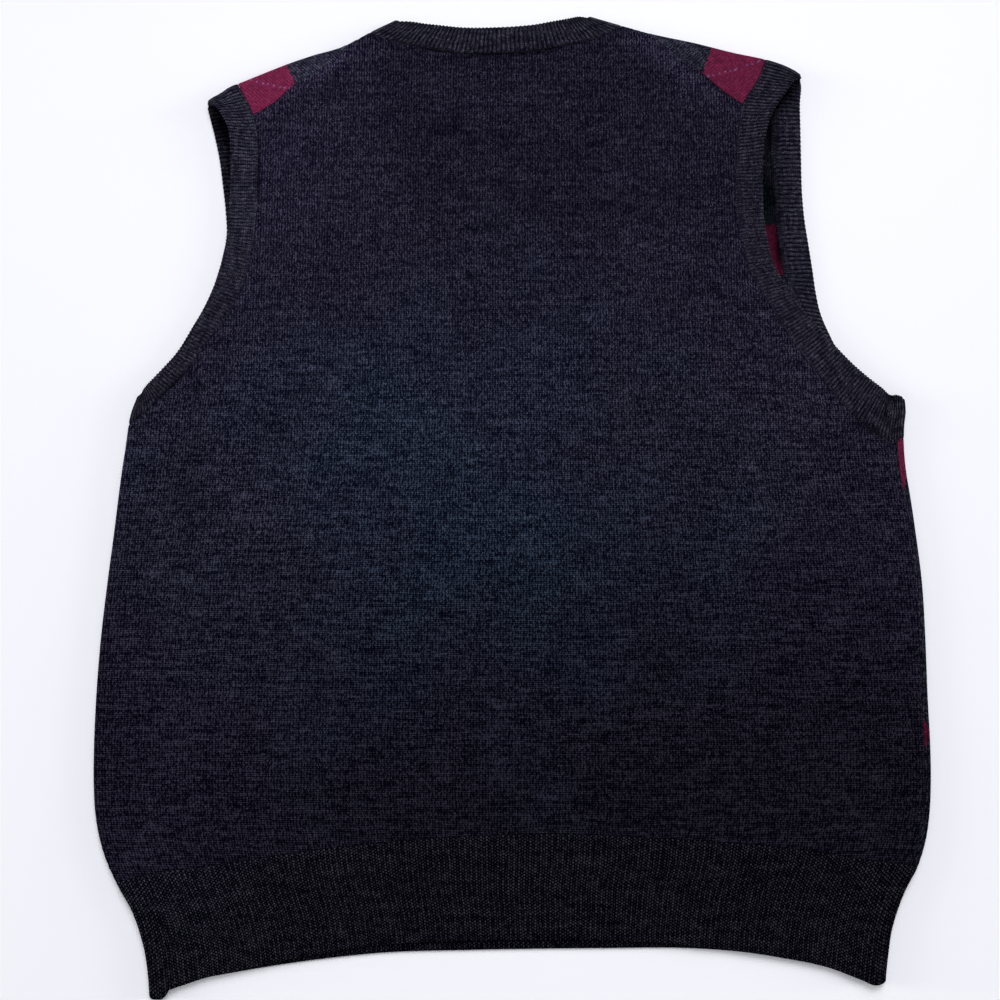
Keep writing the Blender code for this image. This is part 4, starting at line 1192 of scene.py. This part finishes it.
class Maker:
    """Makes one material out of nodes."""

    def __init__(self, name):
        self.material = bpy.data.materials.new(name)
        self.material.use_nodes = True
        self.tree = self.material.node_tree
        self.shader = self.tree.nodes["Principled BSDF"]

    def node(self, kind, settings=None, values=None, output=0):
        """A node of this kind. Its settings are set first, and then its sockets, by values or links."""
        made = self.tree.nodes.new(kind)
        for name, value in (settings or {}).items():
            setattr(made, name, value)
        for name, value in (values or {}).items():
            self.feed(made.inputs[name], value)
        return Link(self, made.outputs[output])

    def feed(self, socket, value):
        """Sets a socket, or links it."""
        if isinstance(value, Link):
            self.tree.links.new(value.socket, socket)
        else:
            socket.default_value = value

    def parts(self, vector):
        """The three numbers of a vector."""
        made = self.node("ShaderNodeSeparateXYZ", None, {0: vector})
        return [Link(self, made.socket.node.outputs[i]) for i in range(3)]

    def vector(self, x, y, z):
        return self.node("ShaderNodeCombineXYZ", None, {0: x, 1: y, 2: z})

    def place(self):
        """Where the vest's surface is, in metres."""
        return self.node("ShaderNodeTexCoord", output=3)

    def stitch_place(self):
        """The column and row of stitches, and the height of the rib."""
        return self.parts(self.node("ShaderNodeAttribute", {"attribute_name": "knit"}, output=1))

    def noise(self, vector, scale, detail, roughness):
        values = {"Vector": vector, "Scale": scale, "Detail": detail, "Roughness": roughness}
        return self.node("ShaderNodeTexNoise", None, values)

    def wander(self, vector, scale, detail, roughness):
        """Noise about nought."""
        return self.noise(vector, scale, detail, roughness) - 0.5

    def chance(self, vector):
        """A number from 0 to 1 that is unlike at each whole place."""
        return self.node("ShaderNodeTexWhiteNoise", None, {"Vector": vector})

    def mix(self, a, b, factor):
        """Colour a where the factor is 0, and b where it is 1."""
        made = self.node("ShaderNodeMix", {"data_type": "RGBA", "blend_type": "MIX", "clamp_factor": True})
        inputs = made.socket.node.inputs
        self.feed(inputs["Factor"], factor)
        for name, colour in (("A", a), ("B", b)):
            socket = next(s for s in inputs if s.name == name and s.type == "RGBA")
            self.feed(socket, colour if isinstance(colour, Link) else (*colour, 1.0))
        return Link(self, next(s for s in made.socket.node.outputs if s.type == "RGBA"))

    def scaled(self, colour, factor):
        """A colour made lighter or darker by a number."""
        return self.node("ShaderNodeVectorMath", {"operation": "SCALE"}, {0: colour, "Scale": factor})

    def bump(self, height, distance, strength):
        """Raises the surface, in its shading alone."""
        values = {"Height": height, "Distance": distance, "Strength": strength}
        self.feed(self.shader.inputs["Normal"], self.node("ShaderNodeBump", None, values))

    def set(self, **values):
        """Feeds the shader's sockets, named with underscores for spaces."""
        for name, value in values.items():
            self.feed(self.shader.inputs[name.replace("_", " ")], value)


STITCH_SLANT = 0.8  # how far a leg of a stitch leans, in rows for each half column
LEG_RELIEF = 0.35  # the part of a stitch's height that is in its two legs


def courses(column, row, slant):
    """How far a place is from the ends of its stitch, whose legs lean by slant."""
    side = abs(column.fraction() - 0.5) * 2
    return ((row - side * slant).fraction() * math.pi).sine()


def stitches(column, row):
    """Plain stitches: how far a place is from the gap between two columns, from 0 to 1, how high it stands,
    and how far it is from the ends of its stitch."""
    side = abs(column.fraction() - 0.5) * 2
    plump = courses(column, row, STITCH_SLANT)
    leg = 1 - (side * 2 - 1) * (side * 2 - 1)
    crest = 1 - side * side * side
    return crest, crest * (leg * LEG_RELIEF + (1 - LEG_RELIEF)) * (plump * 0.5 + 0.5), plump


HEIGHT_ROWS, HEIGHT_START = 230, 0.35  # rows of stitches from low to high, and the part that is below row 0

# How the yarn's lightness varies, as melange, with fine flecks that are partly painted glints of the fibres:
# turns of the noise for each stitch across and along, and its layer.
STREAKS = (0.11, 0.75, 0.0)
DRIFTS = (0.05, 0.35, 5.0)
WALES = (1.15, 0.2, 11.0)
FIBRES = (2.6, 2.9, 3.1)
STITCH_LAYER = 7.3
CLOUD_SCALE = 17.0
# How strongly each of these shows, as powers of e. Streaks show less and wales more further up the vest.
CLOUD, DRIFT, STITCH, FIBRE = 0.7, 2.4, 2.8, 8.4
STREAK, STREAK_LOSS, WALE_GAIN = 4.4, 2.6, 1.6
MELANGE, MELANGE_LOSS = 1.02, 0.27
LIGHTEST = 7.0  # no fibre is more times lighter than its yarn
UNDERDYE = (0.0003, 0.0002, 0.0044)  # the blue that is left in the deepest gaps of the knit
WOOL_ROUGHNESS = 0.95
WOOL_BUMP = 0.7


def height_up(row):
    """How far up the vest a row is, from 0 below the middle to 1 at the shoulders."""
    return (row * (1 / HEIGHT_ROWS) + HEIGHT_START).clamped()


def finish_wool(maker, colour, column, row, light, height, depth, melange=1.0):
    """Sets the shader of a wool knit: its colour with light and dark fibres, darkened and lightened by the
    painted shade and light stored at its points, and its stitches raised by depth. light is how light the
    knit is there, as a power of e: painted highlight on the stitches and painted shade in their gaps."""

    def uneven(kind, up, detail):
        across, along, layer = kind
        return maker.wander(maker.vector(column * across, up * along, layer), 1.0, detail, GRAINY)

    cloud = maker.wander(maker.place(), CLOUD_SCALE, 2.0, SMOOTH)
    high = height_up(row)
    streak = uneven(STREAKS, row, 2.0)
    drift = uneven(DRIFTS, row, 2.0)
    wale = uneven(WALES, row, 1.0)
    lean = row - abs(column.fraction() - 0.5) * (2 * STITCH_SLANT)
    stitch = maker.chance(maker.vector((column * 2).floor(), lean.floor(), STITCH_LAYER)) - 0.5
    fibre = uneven(FIBRES, lean, 1.0)
    # The painted shade and light stored at each point.
    painted_shade_and_tone = maker.node("ShaderNodeAttribute", {"attribute_name": "painted_shade_and_tone"}, output=2)
    broad = cloud * CLOUD + drift * DRIFT + streak * (STREAK - high * STREAK_LOSS) + wale * (high * WALE_GAIN)
    mixed = (broad + stitch * STITCH + fibre * FIBRE) * (MELANGE - high * MELANGE_LOSS)
    shade = (light + mixed * melange).math("EXPONENT").smaller(LIGHTEST) * painted_shade_and_tone
    lit = maker.scaled(colour, shade)
    # The colour with its painted shade and light, and the blue left in the deepest gaps.
    colour_and_painted_shade = maker.node("ShaderNodeVectorMath", {"operation": "ADD"}, {0: lit, 1: maker.scaled(UNDERDYE, painted_shade_and_tone)})
    maker.set(Base_Color=colour_and_painted_shade, Roughness=WOOL_ROUGHNESS, Specular_IOR_Level=0.0)
    maker.bump(height, depth, WOOL_BUMP)


COOL_MIDDLE = (-0.045, -0.035, 0.0)  # middle of the part of the back that looks bluest
COOL_REACH = 0.20
COOL = 1.15  # how blue it is there
COOL_PATCHES = 2.0  # how much that varies
COOL_SCALE = 9.0

# Each knit's stitches, as powers of e: how much lighter their crests, middles and courses are, as painted
# highlight, how dark their gaps are, as painted shade, and what that loses further up the back. The ribs'
# tops are painted lighter and their grooves darker, and on the ribs it grows with their beads.
BACK_CREST, BACK_PLUMP = 1.9, 0.8
BACK_COURSE, BACK_COURSE_LOSS = 2.6, 2.3
BACK_GAPS, BACK_GAPS_LOSS = 3.75, 1.35
FRONT_CREST, FRONT_PLUMP, FRONT_GAPS = 1.3, 0.5, 1.35
RIB_CREST = 0.3
RIB_HEIGHT, RIB_HEIGHT_GAIN = 1.15, 0.5
RIB_GAPS, RIB_GAPS_GAIN = 1.05, 1.08
RIB_MELANGE, RIB_MELANGE_GAIN = 0.66, 0.06
HEM_BEADS, BAND_BEADS = 5.0, 0.8
FRONT_MELANGE = 0.85
RED_EVEN, RED_MELANGE_LOSS = 0.7, 0.58  # burgundy stitches are more even and less flecked than dark ones
BACK_SLANT, RIB_SLANT = 0.25, 0.2
# The courses wander: turns for each metre, and how many rows.
BACK_WANDER, RIB_WANDER = (45.0, 1.4), (55.0, 1.2)
PLAIN_RELIEF, RIB_RELIEF = 0.4 * MM, 0.3 * MM


def wandering(maker, row, place, wander):
    """The row of stitches at a place, in courses that wander."""
    scale, rows = wander
    return row + maker.wander(place, scale, 1.0, SMOOTH) * rows


def charcoal_knit(colours):
    """Plain charcoal knit of the back, bluer in patches about the middle."""
    maker = Maker("charcoal_wool")
    column, row, _ = maker.stitch_place()
    place = maker.place()
    row = wandering(maker, row, place, BACK_WANDER)
    crest, height, plump = stitches(column, row)
    course = courses(column, row, BACK_SLANT)
    away = maker.node("ShaderNodeVectorMath", {"operation": "DISTANCE"}, {0: place, 1: COOL_MIDDLE}, output=1)
    drift = maker.wander(place, COOL_SCALE, 2.0, GRAINY)
    cool = (COOL - away * (1 / COOL_REACH) + drift * COOL_PATCHES).clamped()
    colour = maker.mix(colours.charcoal, colours.cool, cool)
    high = height_up(row)
    # Painted highlight on the stitches' crests and painted shade in their gaps.
    light = crest * BACK_CREST + plump * BACK_PLUMP + course * (BACK_COURSE - high * BACK_COURSE_LOSS)
    light = light - (BACK_GAPS - high * BACK_GAPS_LOSS)
    finish_wool(maker, colour, column, row, light, height, PLAIN_RELIEF)
    return maker.material


def charcoal_rib(name, colour, bead):
    """Ribbed charcoal knit. bead says how strongly the stitches stand out along a rib."""
    maker = Maker(name)
    column, row, rib = maker.stitch_place()
    row = wandering(maker, row, maker.place(), RIB_WANDER)
    crest, height, _ = stitches(column, row)
    course = courses(column, row, RIB_SLANT)
    gaps = RIB_GAPS + bead * RIB_GAPS_GAIN
    # Painted highlight on the ribs' tops and stitches, and painted shade in their grooves and gaps.
    light = rib * (RIB_HEIGHT + bead * RIB_HEIGHT_GAIN) + crest * RIB_CREST + course * bead - gaps
    melange = RIB_MELANGE + bead * RIB_MELANGE_GAIN
    finish_wool(maker, colour, column, row, light, height, RIB_RELIEF, melange)
    return maker.material


def argyle_knit(colours, knit):
    """Argyle knit of the front: burgundy and slate diamonds with thin lilac lines across them."""
    maker = Maker("argyle_wool")
    column, row, _ = maker.stitch_place()
    crest, height, plump = stitches(column, row)
    # Diamonds follow whole stitches, so their edges step.
    across = (column.floor() + 0.5) * (knit.wale / DIAMOND_HALF_WIDTH)
    along = ((row.floor() + 0.5) * knit.course - DIAMOND_LEVEL) / DIAMOND_HALF_HEIGHT
    first = (across + along) * 0.5
    second = (across - along) * 0.5
    kind = abs(first.round() + second.round()) % 3.0
    red = abs(kind - 1.0) < 0.5
    slate = abs(kind - 2.0) < 0.5
    colour = maker.mix(colours.front, colours.slate, slate)
    colour = maker.mix(colour, colours.burgundy, red)
    on_line = abs(first - first.round()).smaller(abs(second - second.round())) < LINE_HALF_WIDTH
    dotted = maker.chance(maker.vector(column.floor(), row.floor(), LINE_LAYER)) > LINE_GAPS
    colour = maker.mix(colour, colours.lilac, on_line * dotted * (red * LINE_ON_RED + LINE_FAINT))
    # Painted highlight on the stitches' crests and painted shade in their gaps, weaker on the burgundy.
    light = (crest * FRONT_CREST + plump * FRONT_PLUMP - FRONT_GAPS) * (1 - red * RED_EVEN)
    melange = FRONT_MELANGE - red * RED_MELANGE_LOSS
    finish_wool(maker, colour, column, row, light, height, PLAIN_RELIEF, melange)
    return maker.material


def floor_finish(colours):
    """Plain pale surface with the faintest unevenness."""
    maker = Maker("pale_floor")
    cloud = maker.noise(maker.place(), FLOOR_SCALE, 2.0, SMOOTH)
    painted_shade_and_tone = maker.mix([part * FLOOR_LOW for part in colours.floor], colours.floor, cloud)
    maker.set(Base_Color=painted_shade_and_tone, Roughness=FLOOR_ROUGHNESS, Specular_IOR_Level=FLOOR_GLOSS)
    return maker.material


def shared(name, make):
    """The material of this name, made at its first use."""
    return bpy.data.materials.get(name) or make()


def fine_everywhere(points):
    """Where the back's points lie close together."""
    return np.ones(len(points), bool)


# The front shows on top at the shoulders, along the right edge, and beside the armholes.
SHOULDERS_FROM = 270 * MM
RIGHT_EDGE_FROM = 262 * MM
ARMHOLES_FROM, ARMHOLES_OUTSIDE = 120 * MM, 150 * MM


def fine_where_it_shows(points):
    """Where the front's points lie close together."""
    x, y = points.T
    beside_armholes = (y > ARMHOLES_FROM) & (np.abs(x) > ARMHOLES_OUTSIDE)
    return (y > SHOULDERS_FROM) | (x > RIGHT_EDGE_FROM) | beside_armholes


class VEST_OT_panels(bpy.types.Operator):
    """Adds the back panel and the argyle front panel"""

    bl_idname = "vest.panels"
    bl_label = "Panels"

    def execute(self, context):
        knit, colours = context.scene.vest_knit, context.scene.vest_colours
        pattern = Pattern(knit)
        back = add_panel(
            "back_cloth", "back", pattern.back_outline, fine_everywhere, back_pattern, knit,
            shared("charcoal_wool", lambda: charcoal_knit(colours)),
        )
        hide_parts("back_panel")
        front = add_panel(
            "front_cloth", "front", pattern.front_outline, fine_where_it_shows, front_pattern, knit,
            shared("argyle_wool", lambda: argyle_knit(colours, knit)),
        )
        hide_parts("front_panel")
        return {"FINISHED"}


class VEST_OT_hems(bpy.types.Operator):
    """Adds the ribbed hems of the back and the front"""

    bl_idname = "vest.hems"
    bl_label = "Hems"

    def execute(self, context):
        knit, colours = context.scene.vest_knit, context.scene.vest_colours
        rib = shared("hem_wool", lambda: charcoal_rib("hem_wool", colours.hem, HEM_BEADS))
        for face in ("back", "front"):
            hem = add_hem(f"{face}_hem_rib", face, knit, rib)
            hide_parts(f"{face}_hem")
        return {"FINISHED"}


class VEST_OT_bands(bpy.types.Operator):
    """Adds the ribbed bands of the armholes and the neck"""

    bl_idname = "vest.bands"
    bl_label = "Armhole bands and neckband"

    def execute(self, context):
        knit, colours = context.scene.vest_knit, context.scene.vest_colours
        rib = shared("band_wool", lambda: charcoal_rib("band_wool", colours.rib, BAND_BEADS))
        pattern = Pattern(knit)
        loops = {
            "armhole_band_left": pattern.left_band,
            "armhole_band_right": pattern.right_band,
            "neckband": pattern.neck,
        }
        for node, loop in loops.items():
            band = add_band(f"{node}_rib", loop, knit, rib)
            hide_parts(node)
        return {"FINISHED"}


# The view: from just off overhead, on the hem side.
CAMERA_PLACE = (-0.0083, -0.1080, 0.777)
CAMERA_AIM = (-0.0083, -0.0126, 0.0)
CAMERA_LENS = 40.0
CAMERA_NEAR = 0.01

# The studio: where its lights stand, and how wide they are in degrees or, overhead, in metres.
FLOOR_HALF = 3.0
FLOOR_LEVEL = -0.05 * MM
FLOOR_LOW = 0.985  # the floor's darkest places, as a part of its colour
FLOOR_SCALE, FLOOR_ROUGHNESS, FLOOR_GLOSS = 6.0, 0.7, 0.2
SKY_COLOUR = (0.955, 0.965, 1.0, 1.0)
WINDOW_PLACE, WINDOW_SPREAD = (0.15, 1.2, 1.0), 32
OVERHEAD_PLACE, OVERHEAD_SIZE = (0.05, 0.45, 1.15), 0.9
RAKE_PLACE, RAKE_SPREAD = (1.0, 0.1, 0.16), 16
RAKE_COLOUR = (1.0, 0.97, 0.80)


def aimed(place, at):
    """The turn of a light or camera that looks from one place at another."""
    return (Vector(at) - Vector(place)).to_track_quat("-Z", "Y").to_euler()


def add_light(name, kind, place, energy):
    """A white light that points to the middle of the vest."""
    light = bpy.data.lights.new(name, kind)
    light.energy = energy
    made = bpy.data.objects.new(name, light)
    made.location = place
    made.rotation_euler = aimed(place, (0, 0, 0))
    bpy.context.scene.collection.objects.link(made)
    return light


class VEST_OT_stage(bpy.types.Operator):
    """Adds the pale floor, the soft studio light and the camera"""

    bl_idname = "vest.stage"
    bl_label = "Stage"

    def execute(self, context):
        scene = context.scene
        colours, light = scene.vest_colours, scene.vest_light
        bm = bmesh.new()
        bmesh.ops.create_grid(bm, x_segments=1, y_segments=1, size=FLOOR_HALF)
        mesh = bpy.data.meshes.new("studio_floor")
        bm.to_mesh(mesh)
        bm.free()
        mesh.materials.append(shared("pale_floor", lambda: floor_finish(colours)))
        floor = bpy.data.objects.new("studio_floor", mesh)
        floor.location.z = FLOOR_LEVEL
        scene.collection.objects.link(floor)

        world = bpy.data.worlds.new("studio")
        world.use_nodes = True
        background = world.node_tree.nodes["Background"]
        background.inputs["Color"].default_value = SKY_COLOUR
        background.inputs["Strength"].default_value = light.sky
        scene.world = world
        add_light("window", "SUN", WINDOW_PLACE, light.window).angle = math.radians(WINDOW_SPREAD)
        add_light("overhead", "AREA", OVERHEAD_PLACE, light.fill).size = OVERHEAD_SIZE
        for side in (-1, 1):
            rake = add_light(f"rake_{side}", "SUN", (side * RAKE_PLACE[0], *RAKE_PLACE[1:]), light.rake)
            rake.angle = math.radians(RAKE_SPREAD)
            rake.color = RAKE_COLOUR

        lens = bpy.data.cameras.new("camera")
        lens.lens = CAMERA_LENS
        lens.clip_start = CAMERA_NEAR
        camera = bpy.data.objects.new("camera", lens)
        camera.location = CAMERA_PLACE
        camera.rotation_euler = aimed(CAMERA_PLACE, CAMERA_AIM)
        scene.collection.objects.link(camera)
        scene.camera = camera
        scene.view_settings.view_transform = "Standard"
        scene.view_settings.look = "None"
        return {"FINISHED"}


class VEST_PT_panel(bpy.types.Panel):
    """The vest's pieces and settings"""

    bl_label = "Slipover vest"
    bl_idname = "VEST_PT_panel"
    bl_space_type = "VIEW_3D"
    bl_region_type = "UI"
    bl_category = "Slipover"

    def draw(self, context):
        for kind in OPERATORS:
            self.layout.operator(kind.bl_idname)
        for group in (context.scene.vest_knit, context.scene.vest_colours, context.scene.vest_light):
            box = self.layout.box()
            for name in group.__annotations__:
                box.prop(group, name)


GROUPS = {"vest_knit": VestKnit, "vest_colours": VestColours, "vest_light": VestLight}
OPERATORS = (VEST_OT_panels, VEST_OT_hems, VEST_OT_bands, VEST_OT_stage)


def register():
    for kind in (*GROUPS.values(), *OPERATORS, VEST_PT_panel):
        bpy.utils.register_class(kind)
    for name, kind in GROUPS.items():
        setattr(bpy.types.Scene, name, bpy.props.PointerProperty(type=kind))


def unregister():
    for name in GROUPS:
        delattr(bpy.types.Scene, name)
    for kind in (VEST_PT_panel, *reversed(OPERATORS), *reversed(GROUPS.values())):
        bpy.utils.unregister_class(kind)


def main():
    register()
    bpy.ops.vest.stage()
    bpy.ops.vest.panels()
    bpy.ops.vest.hems()
    bpy.ops.vest.bands()


if __name__ == "__main__":
    main()
